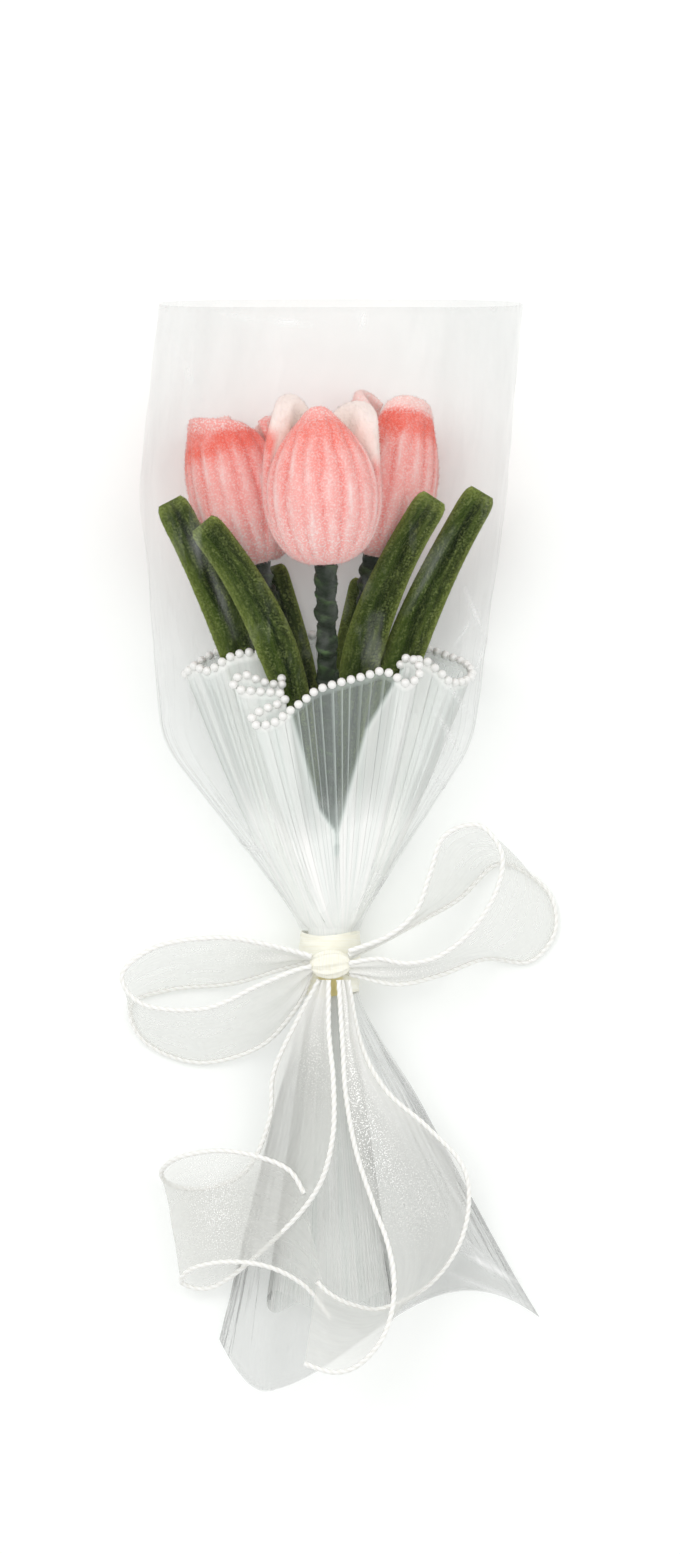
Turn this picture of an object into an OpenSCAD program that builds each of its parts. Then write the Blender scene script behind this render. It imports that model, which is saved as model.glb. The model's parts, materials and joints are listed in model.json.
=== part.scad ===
// Gift bouquet of three chenille tulips, lying on its back on a table.
// X runs to the right, Y along the stems towards the flowers and Z up from the table.
// Every shape is laid out from the waist, where the stems are tied, and is then moved so that
// the origin lies on the table under the middle of the whole bouquet.

/* [Flower heads] */
// Length of a head, from its base to the tips of the outer petals
head_len = 55; // [48:1:58]
// Radius of the front head at its widest
head_r = 21.5; // [18:0.5:23]
// Radius of the side heads at their widest
side_r = 19.5; // [17:0.5:21]
// Height of the widest point above the base of the head
belly_y = 23; // [19:1:27]
// Outer radius of the ring of petal feet that holds the stem
neck_r = 7; // [6.5:0.1:9]
// Thickness of a petal, one layer of chenille strands
petal_t = 4.2; // [3:0.2:5]
// Depth of the grooves between the strands of a petal
groove = 0.9; // [0.3:0.1:1.3]
// How far the open petals draw in between the widest point and the tips
shoulder = 6; // [4:0.5:9]
// How far the front head's front petal draws in to close the bud
bud_shoulder = 15; // [11:0.5:16]
// How far the petal behind the bud's left shoulder draws in
bud_left_shoulder = 7; // [4:0.5:9]
// How far the petal behind the bud's right shoulder draws in
bud_right_shoulder = 1; // [0:0.5:6]
// Share of the round, in degrees, that the bud's front petal takes
bud_span = 160; // [130:5:170]
// How far the tips of the outer petals roll outwards on the side heads
lip = 2; // [0:0.5:3]
// How far the top edge of the left head's petals slopes down to the right
left_slant = 8; // [0:1:10]
// How far the top edge of the right head's petals slopes down to the right
right_slant = 4; // [0:1:10]
// How far the left head's inner petals stand above the outer ones
inner_rise = 0; // [-3:0.5:4]
// How far the front head's inner petals stay below the tip of the bud
bud_depth = 8; // [6:0.5:12]
// Share of a petal's full width that is left at its tip
tip_share = 0.8; // [0.4:0.05:0.9]
// Petals in each layer of a head
petals = 3; // [3:1:3]
// Radius left open in the middle of the inner petals' feet
inner_foot_r = 1.5; // [1:0.1:2]
// Strands across an outer petal
outer_strands = 6; // [4:1:7]
// Strands across an inner petal
inner_strands = 4; // [3:1:5]
// Gap between the inner and the outer petals
petal_gap = 0.6; // [0.5:0.1:0.8]
// Angle left open between neighbouring petals of one layer
petal_split = 3; // [2:0.5:6]
// Gap between neighbouring heads
head_gap = 1; // [0.6:0.2:3]
// Sideways place of the left head, from the waist
left_x = -31.6; // [-36:0.2:-30]
// Sideways place of the front head, from the waist
front_x = -2.8; // [-5:0.2:0]
// Sideways place of the right head, from the waist
right_x = 19.4; // [18:0.2:25]
// Lean of the left head away from the stems
left_lean = 14; // [8:1:18]
// Lean of the front head
front_lean = 3; // [0:1:6]
// Lean of the right head away from the stems
right_lean = 10; // [6:1:14]
// Rise of the side heads towards their tips
side_rise = 3; // [0:1:5]
// Rise of the front head towards its tips
front_rise = 7; // [3:1:10]

/* [Stems] */
// Distance from the waist to the base of the left and front heads
stem_len = 140; // [134:1:146]
// How much further the right head stands
right_extra = 3; // [0:1:6]
// Length of stem below the waist
stem_tail = 10; // [6:1:14]
// Length of the gathered neck above the waist, in which the stems run side by side
waist_top = 7; // [5:0.5:9]
// Radius of a stem wire
wire_r = 1.2; // [0.8:0.1:1.6]
// Radius of the floral tape wound on a stem wire
tape_r = 3.2; // [2.6:0.1:3.6]
// Radius of the taped ball at the top of a stem, on which a head is bound
ball_r = 3.9; // [3.7:0.1:4.4]
// Gap between the ball and the petal feet, so that the head can bend
ball_gap = 0.4; // [0.3:0.1:0.6]
// Gap between a wire and its tape
wire_gap = 0.15; // [0.1:0.05:0.3]
// Gap between pieces that lie against each other
seat_gap = 0.3; // [0.25:0.05:0.5]

/* [Leaves] */
// Width of a leaf, two chenille strands side by side
leaf_w = 14; // [11:0.5:16]
// Thickness of a leaf
leaf_t = 5; // [4:0.5:6]
// Width of a leaf at its root, where its wire is bound to a stem
leaf_root_w = 8; // [6:0.5:9]
// Gap between a leaf's root and its stem, so that the leaf can bend
leaf_gap = 0.5; // [0.4:0.05:0.8]
// How far a stem settles into the groove of the leaf bound behind it
leaf_nest = 0.7; // [0.4:0.05:0.8]
// Length along the stem, as a share of its bend, at which the leaves are bound
leaf_root_at = 0.27; // [0.24:0.01:0.3]

/* [Wrap] */
// Thickness of the clear film, drawn stiffer than the real film
film_t = 0.4; // [0.3:0.1:0.8]
// Thickness of the organza, drawn stiffer than the real cloth
organza_t = 0.4; // [0.3:0.1:0.8]
// Thickness of each gathered layer at the waist
gather_t = 0.9; // [0.7:0.1:1.2]
// Height of the middle of the waist above the table
waist_z = 13; // [12:0.5:15]
// Length of the sleeve above the waist
sleeve_len = 232; // [224:1:250]
// Length of the sleeve's skirt below the waist
skirt_len = 161; // [150:1:172]
// How much the bottom edge of the skirt rises towards the right
skirt_tilt = 37; // [24:1:42]
// How much the rounded left end of the skirt's bottom edge is cut back
skirt_lobe = 20; // [10:1:26]
// How much the right corner of the skirt's bottom edge drops again
skirt_corner = 10; // [4:1:16]
// Reach of the skirt to the left
skirt_left = 40.5; // [36:0.5:46]
// Reach of the skirt to the right
skirt_right = 76; // [70:0.5:80]
// Height of the skirt at its bottom edge
skirt_h = 8; // [8:0.5:12]
// Distance from the waist to the end of the sleeve's cone
cone_len = 74; // [68:1:80]
// Reach of the sleeve to the left at the end of the cone
cone_left = 61; // [56:0.5:64]
// Reach of the sleeve to the right at the end of the cone
cone_right = 52; // [51:0.5:56]
// Height of the sleeve at the end of the cone
cone_h = 57; // [55:0.5:62]
// Reach of the sleeve to the left at the heads
belly_left = 69.5; // [66:0.5:76]
// Reach of the sleeve to the right at the heads
belly_right = 64; // [62:0.5:70]
// Room between the front head and the sleeve, for the head to lift
head_room = 6; // [5:0.5:12]
// Reach of the mouth to the left
mouth_left = 62; // [56:0.5:70]
// Reach of the mouth to the right
mouth_right = 69.5; // [62:0.5:74]
// Height of the mouth
mouth_h = 66; // [60:1:80]

/* [Collar] */
// Distance from the waist to the collar's rim at the sides
rim_y = 101; // [96:1:104]
// How much higher the rim stands at the back than at the sides
rim_back = 11; // [6:1:14]
// Reach of the rim to the left
rim_left = 52; // [46:0.5:54]
// Reach of the rim to the right
rim_right = 49.5; // [44:0.5:50]
// Height of the rim at the front
rim_h = 54; // [52:0.5:56]
// Ruffles round the rim
ruffles = 10; // [6:1:12]
// Depth of the ruffles
ruffle = 4.5; // [2:0.5:6]
// How much the rim waves up and down with the ruffles
rim_wave = 0.6; // [0:0.1:0.8]
// Length of the collar's pleated skirt below the waist
pleat_len = 128; // [110:1:134]
// Half width of the pleated skirt at its end
pleat_w = 23; // [18:0.5:25]
// Pearl diameter
pearl_d = 3; // [2.5:0.1:3]
// Gap between a pearl and the edge of the cloth
pearl_gap = 0.2; // [0.1:0.05:0.4]
// Pearl pitch along the rim
pearl_pitch = 3.8; // [3.7:0.1:5]

/* [Bow] */
// Length of the tie band along the stems
band_len = 22; // [16:1:24]
// How far the gathered neck reaches past each end of the tie band
band_inset = 1.5; // [1:0.1:2]
// Thickness of the tie band
band_t = 1; // [0.8:0.1:2]
// Half length of the knot across the bouquet
knot_w = 6.2; // [5.5:0.1:6.5]
// Half length of the knot along the bouquet
knot_l = 5.2; // [4.5:0.1:5.5]
// Half height of the knot
knot_h = 4.2; // [3.5:0.1:5]
// Gap between the knot and the ribbons that leave it
knot_gap = 0.5; // [0.3:0.1:0.8]
// Width of the ribbon
ribbon_w = 38; // [34:1:40]
// Thickness of the sheer ribbon, drawn stiffer than the real one
web_t = 0.5; // [0.4:0.1:0.8]
// Radius of the cords along the ribbon's edges
cord_r = 0.7; // [0.5:0.1:0.9]

/* [Hidden] */
$fn = 32;
petal_pink = [0.95, 0.58, 0.58];
petal_cream = [0.98, 0.80, 0.76];
leaf_green = [0.24, 0.36, 0.14];
tape_green = [0.13, 0.24, 0.16];
organza_white = [0.93, 0.95, 0.95];
film_clear = [0.90, 0.92, 0.94];
band_cream = [0.97, 0.94, 0.80];
ribbon_white = [0.97, 0.97, 0.95];

// Layers round the stems at the waist, from the inside out
bundle_r = (2 * tape_r + seat_gap) / sqrt(3);
collar_r = bundle_r + tape_r + seat_gap;
sleeve_r = collar_r + gather_t + seat_gap;
band_r = sleeve_r + gather_t + seat_gap;
waist_low = waist_top - band_len - 2 * band_inset;
band_y = waist_top - band_inset - band_len / 2;

// Heights of the heads: the side heads lie on the sleeve's back, the front one between them
side_z = film_t + seat_gap + side_r;
front_z = side_z + sqrt(pow(head_r + side_r + head_gap, 2) - pow(right_x - front_x, 2));
belly_h = front_z + head_r + head_room + film_t;

// Turn from one petal of a layer to the next, and from one strand of a petal to the next
layer_step = 360 / petals;
strand_turn = (layer_step - petal_split) / outer_strands;

// Name, place of the widest point, lean, rise, turn, roll of the tips, place in the stem bundle, radius,
// how far each outer petal draws in, how far the inner ones do, their rise, the slant of the top edge,
// and each outer petal's place round the head and share of the round
SIDE_DRAW = [shoulder, shoulder, shoulder];
BUD_DRAW = [bud_right_shoulder, bud_left_shoulder, bud_shoulder];
SIDE_SPREAD = [for (k = [1 : petals]) [layer_step * k, layer_step]];
bud_rest = (360 - bud_span) / 2;
BUD_SPREAD = [[(bud_span + bud_rest) / 2, bud_rest], [-(bud_span + bud_rest) / 2, bud_rest], [0, bud_span]];
LEFT = ["left", [left_x, stem_len + belly_y, side_z], left_lean, side_rise, -24, lip, 210, side_r,
        SIDE_DRAW, shoulder, inner_rise, left_slant, SIDE_SPREAD];
FRONT = ["front", [front_x, stem_len + belly_y, front_z], front_lean, front_rise, 0, 0, 90, head_r,
         BUD_DRAW, bud_shoulder, -bud_depth, 0, BUD_SPREAD];
RIGHT = ["right", [right_x, stem_len + right_extra + belly_y, side_z], -right_lean, side_rise, 12, lip, 330, side_r,
         SIDE_DRAW, shoulder, 0, right_slant, SIDE_SPREAD];
HEADS = [LEFT, FRONT, RIGHT];

function mix(a, b, t) = a + (b - a) * t;
function unit(v) = v / norm(v);
function signed_power(v, e) = sign(v) * pow(abs(v), e);
function bezier(a, b, c, t) = a * pow(1 - t, 2) + 2 * b * t * (1 - t) + c * t * t;

// Point of a smooth curve through the points p, between p[i] and p[i + 1]
function through(p, i, t) =
    let (n = len(p) - 1, a = p[max(0, i - 1)], b = p[i], c = p[min(n, i + 1)], d = p[min(n, i + 2)])
    b + 0.5 * t * (c - a + t * (2 * a - 5 * b + 4 * c - d + t * (3 * (b - c) + d - a)));

// Smooth curve through the points p with a given number of steps to each span
function curve(p, steps) =
    concat([for (i = [0 : len(p) - 2], k = [0 : steps - 1]) through(p, i, k / steps)], [p[len(p) - 1]]);

function head_dir(h) = [-sin(h[2]) * cos(h[3]), cos(h[2]) * cos(h[3]), sin(h[3])];
function head_base(h) = h[1] - belly_y * head_dir(h);

// Radius of a head at a height above its base: round below the widest point, drawn in above it
function upper_share(y) = max(0, (min(y, head_len) - belly_y) / (head_len - belly_y));
function head_radius(y, widest, draw_in) = y < belly_y
    ? neck_r + (widest - neck_r) * sqrt(1 - pow(1 - y / belly_y, 2))
    : widest - draw_in * pow(upper_share(y), 2);

// Heights at which the petals have their rows of points
ROWS = concat([for (a = [0 : 22.5 : 90]) belly_y * (1 - cos(a))],
              [for (k = [1 : 4]) mix(belly_y, head_len, k / 4)]);
INNER_START = 2;

// Share of a petal's full width at a height above the base: whole below, narrowing to a blunt tip
function petal_share(y) = sqrt(1 - (1 - tip_share * tip_share) * pow(upper_share(y), 3));

// Start and end of a stem: parallel in the waist, then bending out to the base of its head
function stem_foot(h) = [bundle_r * cos(h[6]), waist_top, waist_z + bundle_r * sin(h[6])];
function stem_at(h, t) =
    let (a = stem_foot(h), d = head_base(h), reach = (d.y - a.y) / 3)
    bezier(mix(a, a + [0, reach, 0], t), mix(a + [0, reach, 0], d - reach * unit(d - a), t),
           mix(d - reach * unit(d - a), d, t), t);

// Rings of points of a round bar along a list of centres, with one radius for each
function bar_rings(centres, radii, sides) = [for (i = [0 : len(centres) - 1])
    let (n = len(centres) - 1, t = unit(centres[min(n, i + 1)] - centres[max(0, i - 1)]),
         u = unit(cross([0, 0, 1], t)), w = cross(t, u))
    [for (j = [0 : sides - 1]) centres[i] + radii[i] * (cos(360 * j / sides) * u + sin(360 * j / sides) * w)]];

// Solid between rings of points, each ring being a front side and a back side in reverse order
module skin(rings, closed = false) {
    n = len(rings[0]);
    m = len(rings);
    sides = [for (i = [0 : m - (closed ? 1 : 2)], j = [0 : n - 1])
        let (a = i * n + j, b = i * n + (j + 1) % n, c = (i + 1) % m * n + j, d = (i + 1) % m * n + (j + 1) % n)
        each [[a, d, b], [a, c, d]]];
    e = (m - 1) * n;
    caps = closed ? [] : [for (j = [0 : n / 2 - 2])
        each [[j, n - 2 - j, n - 1 - j], [j, j + 1, n - 2 - j],
              [e + j, e + n - 1 - j, e + n - 2 - j], [e + j, e + n - 2 - j, e + j + 1]]];
    polyhedron([for (r = rings) each r], concat(sides, caps), convexity = 8);
}

// Ribbon stations: a point of the lower edge and the way across to the other edge, as a share of the width
knot_y = band_y;
knot_z = waist_z + band_r + band_t + seat_gap + knot_h;
root_x = knot_w + knot_gap;
root_y = knot_y - knot_l - knot_gap;
table_z = cord_r + 1.3;
LEFT_LOOP = [
    [[-root_x, knot_y + 1, knot_z - 3], [0, 0.05, 0.14]],
    [[-19, -8, 16], [-0.08, 0.25, 0.45]],
    [[-36, -13, 5], [-0.10, 0.45, 0.80]],
    [[-57, -15, table_z + 0.5], [-0.13, 0.42, 0.88]],
    [[-72, -20.5, table_z], [-0.07, 0.30, 0.90]],
    [[-67, -34, table_z], [0, 0.37, 0.88]],
    [[-48, -41.5, table_z + 0.5], [0.08, 0.53, 0.84]],
    [[-26, -36, 7], [0, 0.60, 0.66]],
    [[-12.5, -22, 18], [-0.02, 0.37, 0.32]],
    [[-root_x, knot_y - 3, knot_z - 3], [0, 0.06, 0.12]]];
RIGHT_LOOP = [
    [[root_x, knot_y + 2, knot_z - 3], [0, 0.07, 0.12]],
    [[20, 3, 20], [0.03, 0.05, 0.32]],
    [[34, 10.5, 12], [-0.08, 0.09, 0.55]],
    [[47, 18, 5], [-0.29, 0.26, 0.76]],
    [[60, 30, table_z + 0.5], [-0.50, 0.28, 0.83]],
    [[71, 27, table_z], [-0.47, 0.46, 0.84]],
    [[80, 18, table_z], [-0.49, 0.45, 0.84]],
    [[81, 5, table_z], [-0.55, 0.45, 0.83]],
    [[72, -5, table_z], [-0.53, 0.34, 0.82]],
    [[56, -4, 6], [-0.42, 0.05, 0.68]],
    [[40, -9.7, 14], [-0.32, 0.12, 0.45]],
    [[24, -13, 20], [-0.18, 0.25, 0.26]],
    [[root_x, knot_y - 3.5, knot_z - 3], [0, 0.10, 0.12]]];
LEFT_TAIL = [
    [[-4, root_y, knot_z - 1.5], [0.09, 0, 0.06]],
    [[-13, -28, 21], [0.33, -0.05, 0.26]],
    [[-20.5, -45, 16], [0.57, -0.08, 0.50]],
    [[-22, -62, 13], [0.60, -0.16, 0.58]],
    [[-30, -80, 8], [0.66, -0.18, 0.58]],
    [[-44, -87, 4.5], [0.63, -0.47, 0.41]],
    [[-57, -86, 5], [0.42, -0.95, 0.08]],
    [[-61, -81, 12], [0.20, -1.06, -0.10]],
    [[-55, -75.5, 21], [0.13, -1.06, -0.16]],
    [[-41, -72.7, 26], [0.10, -1.06, -0.16]],
    [[-27, -74.5, 28], [0.13, -1.06, -0.18]],
    [[-15, -79.5, 28], [0.16, -1.12, -0.29]],
    [[-9.4, -88, 27], [0.25, -1.2, -0.34]]];
RIGHT_TAIL = [
    [[6.5, root_y, knot_z - 1.5], [-0.09, 0, 0.06]],
    [[11, -34, 24], [-0.17, -0.04, 0.18]],
    [[20, -51, 21], [-0.38, -0.03, 0.30]],
    [[35, -64.5, 18.5], [-0.68, -0.20, 0.34]],
    [[47.5, -78, 16.5], [-0.85, -0.34, 0.36]],
    [[50, -92, 15], [-0.78, -0.34, 0.45]],
    [[46, -108, 14], [-0.61, -0.24, 0.55]],
    [[35, -122, 13.5], [-0.34, -0.21, 0.68]],
    [[19, -130, 14], [-0.03, -0.29, 0.71]],
    [[8, -128.5, 18], [0.05, -0.55, 0.58]],
    [[0, -124.5, 22], [0.03, -0.72, 0.42]],
    [[-4.7, -120, 24], [-0.12, -0.76, 0.30]]];

// The waist's place, from the reach of the bow to both sides and of the sleeve to both ends
bow_left = min([for (s = LEFT_LOOP) min(s[0].x, s[0].x + ribbon_w * s[1].x)]);
bow_right = max([for (s = RIGHT_LOOP) max(s[0].x, s[0].x + ribbon_w * s[1].x)]);
waist_place = [-(bow_left + bow_right) / 2, (skirt_len - sleeve_len) / 2, 0];

// One petal of a layer: rows of a ridged outer side and a smooth inner side
module petal(head, rows, turn, span, strands, drop, draw_in, foot_r, roll) {
    n = 2 * strands;
    half = (span - petal_split) / 2;
    function spot(y, k, r) =
        let (a = turn + half * petal_share(y) * (2 * k / n - 1))
        [r * sin(a), y - head[11] * pow(upper_share(y), 3) * k / n, r * cos(a)];
    rings = [for (y = rows)
        let (r = head_radius(y, head[7], draw_in) - drop + roll * pow(upper_share(y), 4),
             inner_r = y == rows[0] ? foot_r : max(foot_r, r - petal_t))
        concat([for (k = [0 : n]) spot(y, k, r - (k % 2 == 0 ? groove : 0))],
               [for (k = [n : -1 : 0]) spot(y, k, inner_r)])];
    translate(waist_place + head_base(head)) rotate([head[3], 0, head[2]]) skin(rings);
}

module outer_petal(head, k) {
    spread = head[12][k - 1];
    strands = round((spread[1] - petal_split) / strand_turn);
    color(petal_pink)
        petal(head, ROWS, head[4] + spread[0], spread[1], strands, 0, head[8][k - 1], ball_r + ball_gap, head[5]);
}

module inner_petal(head, k) {
    last = len(ROWS) - 1;
    rows = [for (i = [INNER_START : last]) ROWS[i] + head[10] * pow(upper_share(ROWS[i]), 2)];
    color(petal_cream)
        petal(head, rows, head[4] + layer_step * (k + 0.5), layer_step, inner_strands, petal_t + petal_gap, head[9],
              inner_foot_r, 0);
}

// Centres along a stem, from the end below the waist up to the base of its head
STEM_STEPS = 16;
function stem_centres(h) =
    concat([stem_foot(h) - [0, waist_top + stem_tail, 0]], [for (k = [0 : STEM_STEPS]) stem_at(h, k / STEM_STEPS)]);

module stem_wire(head) {
    centres = stem_centres(head);
    color("silver") translate(waist_place) skin(bar_rings(centres, [for (c = centres) wire_r], 8));
}

// Floral tape: a tube closed at the top by the ball that the head is bound on
module stem_tape(head) {
    centres = stem_centres(head);
    n = len(centres) - 1;
    dir = unit(centres[n] - centres[n - 1]);
    bore = bar_rings(centres, [for (c = centres) wire_r + wire_gap], 8);
    lid = bar_rings([centres[n], centres[n] + wire_gap * dir], [wire_r + wire_gap, wire_r + wire_gap], 8)[1];
    shaft = bar_rings([for (i = [0 : n - 1]) centres[i]], [for (i = [0 : n - 1]) tape_r], 8);
    angles = [-40, 0, 35, 70];
    ball = bar_rings([for (a = angles) centres[n] + ball_r * sin(a) * dir], [for (a = angles) ball_r * cos(a)], 8);
    color(tape_green) translate(waist_place)
        skin(concat([lid], [for (i = [n : -1 : 0]) bore[i]], shaft, ball));
}

// Leaf: name, head that its stem carries, way from the stem to its root, bend point from a point of the
// stem and tip from the base of the head
LEAVES = [
    ["left_side_leaf", LEFT, [-1, 0, 0], [-5.5, -2, 2], [-31.5, 20, 20.5]],
    ["left_back_leaf", LEFT, [0, 0, -1], [8.5, -2, -8.7], [4, -3, -10]],
    ["front_left_leaf", FRONT, [-1, 0, 0], [-6.3, 12.2, -2.5], [-44.2, 12.3, -4.5]],
    ["front_right_leaf", FRONT, [1, 0, 0], [0, 9.7, -25], [38.9, 21.5, -5.5]],
    ["right_side_leaf", RIGHT, [1, 0, 0], [6, 4, 0], [39.2, 20.6, 17.5]],
    ["right_back_leaf", RIGHT, [0, 0, -1], [-6, -2, -8.7], [-2, -10.5, -10]]];
leaf_bend_at = 0.65;
LEAF_STEPS = 9;
leaf_edge_share = 0.35;
leaf_groove_share = 0.55;
leaf_spread = 1.8;
leaf_tip_w_share = 0.8;
leaf_tip_t_share = 0.6;

function leaf_root(leaf) =
    let (reach = leaf[2].z == 0 ? leaf_root_w / 2 : leaf_t / 2 - leaf_nest)
    stem_at(leaf[1], leaf_root_at) + leaf[2] * (tape_r + reach + leaf_gap);

// Two rounded strands side by side, narrow at the root and blunt at the tip
module leaf(leaf) {
    root = leaf_root(leaf);
    bend = stem_at(leaf[1], leaf_bend_at) + leaf[3];
    tip = head_base(leaf[1]) + leaf[4];
    rings = [for (k = [0 : LEAF_STEPS])
        let (t = k / LEAF_STEPS, c = bezier(root, bend, tip, t),
             along = unit(mix(bend - root, tip - bend, t)),
             across = unit(cross(along, [0, 0, 1])), up = cross(across, along),
             w = mix(leaf_root_w, leaf_w, min(1, leaf_spread * t)) / 4 * (k == LEAF_STEPS ? leaf_tip_w_share : 1),
             h = leaf_t / 2 * (k == LEAF_STEPS ? leaf_tip_t_share : 1),
             front = [[-2, leaf_edge_share], [-1, 1], [0, leaf_groove_share], [1, 1], [2, leaf_edge_share]])
        concat([for (p = front) c + w * p.x * across + h * p.y * up],
               [for (i = [4 : -1 : 0]) c + w * front[i].x * across - h * front[i].y * up])];
    color(leaf_green) translate(waist_place) skin(rings);
}

// Ring of a wrap: rounded section between left, right, low and high reach, flat where it meets the table
function section(y, left, right, low, high, bulge, low_bulge, floor_z, count, inset) =
    [for (j = [0 : count - 1])
        let (a = 360 * j / count, e = sin(a) < 0 ? low_bulge : bulge,
             x = (left + right) / 2 + ((right - left) / 2 - inset) * signed_power(cos(a), e),
             z = (low + high) / 2 + ((high - low) / 2 - inset) * signed_power(sin(a), e))
        [x, y, max(z, floor_z)]];

// Sleeve stations: place along the stems, reach to the left and right, lowest and highest reach, wall
waist_ring_low = waist_z - sleeve_r - gather_t;
waist_ring_high = waist_z + sleeve_r + gather_t;
waist_ring_w = sleeve_r + gather_t;
wrap_drop = -3;
SLEEVE = concat(
    [for (f = [1, 0.75, 0.5, 0.25])
        [mix(waist_low, -skirt_len, f), -mix(waist_ring_w, skirt_left, pow(f, 0.8)),
         mix(waist_ring_w, skirt_right, pow(f, 0.8)), mix(waist_ring_low, wrap_drop, min(1, 3 * f)),
         mix(waist_ring_high, skirt_h, f), film_t]],
    [for (y = [waist_low, waist_top])
        [y, -waist_ring_w, waist_ring_w, waist_ring_low, waist_ring_high, gather_t]],
    [for (f = [0.33, 0.66, 1])
        [mix(waist_top, cone_len, f), -mix(waist_ring_w, cone_left, f), mix(waist_ring_w, cone_right, f),
         mix(waist_ring_low, wrap_drop, min(1, 3 * f)), mix(waist_ring_high, cone_h, f), film_t]],
    [for (f = [0.35, 0.7, 1])
        [mix(cone_len, stem_len + belly_y, f), -mix(cone_left, belly_left, f), mix(cone_right, belly_right, f),
         wrap_drop, mix(cone_h, belly_h, sin(90 * f)), film_t]],
    [for (f = [0.25, 0.5, 0.75, 1])
        [mix(stem_len + belly_y, sleeve_len, f), -mix(belly_left, mouth_left, f), mix(belly_right, mouth_right, f),
         wrap_drop, mix(belly_h, mouth_h, f * f), film_t]]);
SLEEVE_SIDES = 36;
sleeve_bulge = 0.8;
sleeve_low_bulge = 0.62;

// Rise of the skirt's bottom edge: a rounded lobe at the left, a slope and a corner at the right
lobe_end = 0.16;
slope_start = 0.1;
slope_end = 0.78;
function edge_rise(u) =
    skirt_lobe * pow(max(0, 1 - u / lobe_end), 2) - skirt_corner * pow(max(0, u - slope_end) / (1 - slope_end), 2)
    + skirt_tilt * (1 - cos(180 * min(1, max(0, (u - slope_start) / (slope_end - slope_start))))) / 2;
function skirt_rise(p, s) =
    let (f = max(0, (waist_low - s[0]) / (waist_low + skirt_len)), u = (p.x - s[1]) / (s[2] - s[1]))
    [p.x, p.y + f * f * edge_rise(u), p.z];
function sleeve_ring(s, inset) =
    let (round = s[5] == gather_t, bulge = round ? 1 : sleeve_bulge, low_bulge = round ? 1 : sleeve_low_bulge)
    [for (p = section(s[0], s[1], s[2], s[3], s[4], bulge, low_bulge, inset, SLEEVE_SIDES, inset)) skirt_rise(p, s)];

module film_sleeve() {
    n = len(SLEEVE) - 1;
    color(film_clear, 0.3) translate(waist_place)
        skin(concat([for (s = SLEEVE) sleeve_ring(s, s[5])],
                    [for (i = [n : -1 : 0]) sleeve_ring(SLEEVE[i], 0)]), closed = true);
}

// Collar stations: share of the way to the rim, or to the end of the pleated skirt below the waist, and wall
collar_floor = film_t + seat_gap;
collar_w = collar_r + gather_t;
COLLAR = [[-1, organza_t], [-0.5, organza_t], [0, gather_t], [0, gather_t],
          [0.2, organza_t], [0.42, organza_t], [0.68, organza_t], [1, organza_t]];
COLLAR_SIDES = 60;
COLLAR_LAST = len(COLLAR) - 1;
pleat_depth = 1.2;
pleat_low = 2;
pleat_high = 7.6;

function collar_ring(i, inset) =
    let (f = COLLAR[i][0], up = max(0, f), down = max(0, -f), bulge = f == 0 ? 1 : 0.9,
         y = f > 0 ? mix(waist_top, rim_y, f) : f < 0 ? mix(waist_low, -pleat_len, down) : i == 2 ? waist_low : waist_top,
         left = -mix(mix(collar_w, rim_left, pow(up, 0.8)), pleat_w, down),
         right = mix(mix(collar_w, rim_right, pow(up, 0.8)), pleat_w, down),
         low = mix(mix(waist_z - collar_w, collar_floor - 1, min(1, 3 * up)), pleat_low, down),
         high = mix(mix(waist_z + collar_w, rim_h, up), pleat_high, down),
         floor_z = collar_floor + up * up * pearl_d / 2 + inset)
    [for (j = [0 : COLLAR_SIDES - 1])
        let (a = 360 * j / COLLAR_SIDES, front = (1 + sin(a)) / 2, wave = (1 - cos(ruffles * a)) / 2,
             fold = wave * (ruffle * up * up * front + pleat_depth * down),
             x = (left + right) / 2 + ((right - left) / 2 - inset - fold) * signed_power(cos(a), bulge),
             z = (low + high) / 2 + ((high - low) / 2 - inset - fold) * signed_power(sin(a), bulge),
             lift = up * up * (-rim_back * sin(a) + rim_wave * cos(ruffles * a)))
        [x, y + lift, max(z, floor_z)]];

module organza_collar() {
    color(organza_white, 0.5) translate(waist_place)
        skin(concat([for (i = [0 : COLLAR_LAST]) collar_ring(i, COLLAR[i][1])],
                    [for (i = [COLLAR_LAST : -1 : 0]) collar_ring(i, 0)]), closed = true);
}

// Middle line of the collar's rim, its running length, the row below it and the way that it runs
RIM = let (a = collar_ring(COLLAR_LAST, 0), b = collar_ring(COLLAR_LAST, organza_t))
    [for (j = [0 : COLLAR_SIDES]) (a[j % COLLAR_SIDES] + b[j % COLLAR_SIDES]) / 2];
RIM_RUN = [for (i = 0, s = 0; i <= COLLAR_SIDES; s = s + (i < COLLAR_SIDES ? norm(RIM[i + 1] - RIM[i]) : 0), i = i + 1) s];
RIM_INDEX = [for (i = [0 : COLLAR_SIDES]) [RIM_RUN[i], i]];
RIM_BELOW = let (a = collar_ring(COLLAR_LAST - 1, 0)) [for (j = [0 : COLLAR_SIDES]) a[j % COLLAR_SIDES]];

RIM_ALONG = [for (j = [0 : COLLAR_SIDES])
    unit(RIM[(j + 1) % COLLAR_SIDES] - RIM[(j + COLLAR_SIDES - 1) % COLLAR_SIDES])];

function pearl_place(s) =
    let (q = lookup(s, RIM_INDEX), i = min(COLLAR_SIDES - 1, floor(q)), f = q - i,
         p = mix(RIM[i], RIM[i + 1], f), along = unit(mix(RIM_ALONG[i], RIM_ALONG[i + 1], f)),
         up = p - mix(RIM_BELOW[i], RIM_BELOW[i + 1], f))
    p + (pearl_d / 2 + pearl_gap) * unit(up - (up * along) * along);

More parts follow.
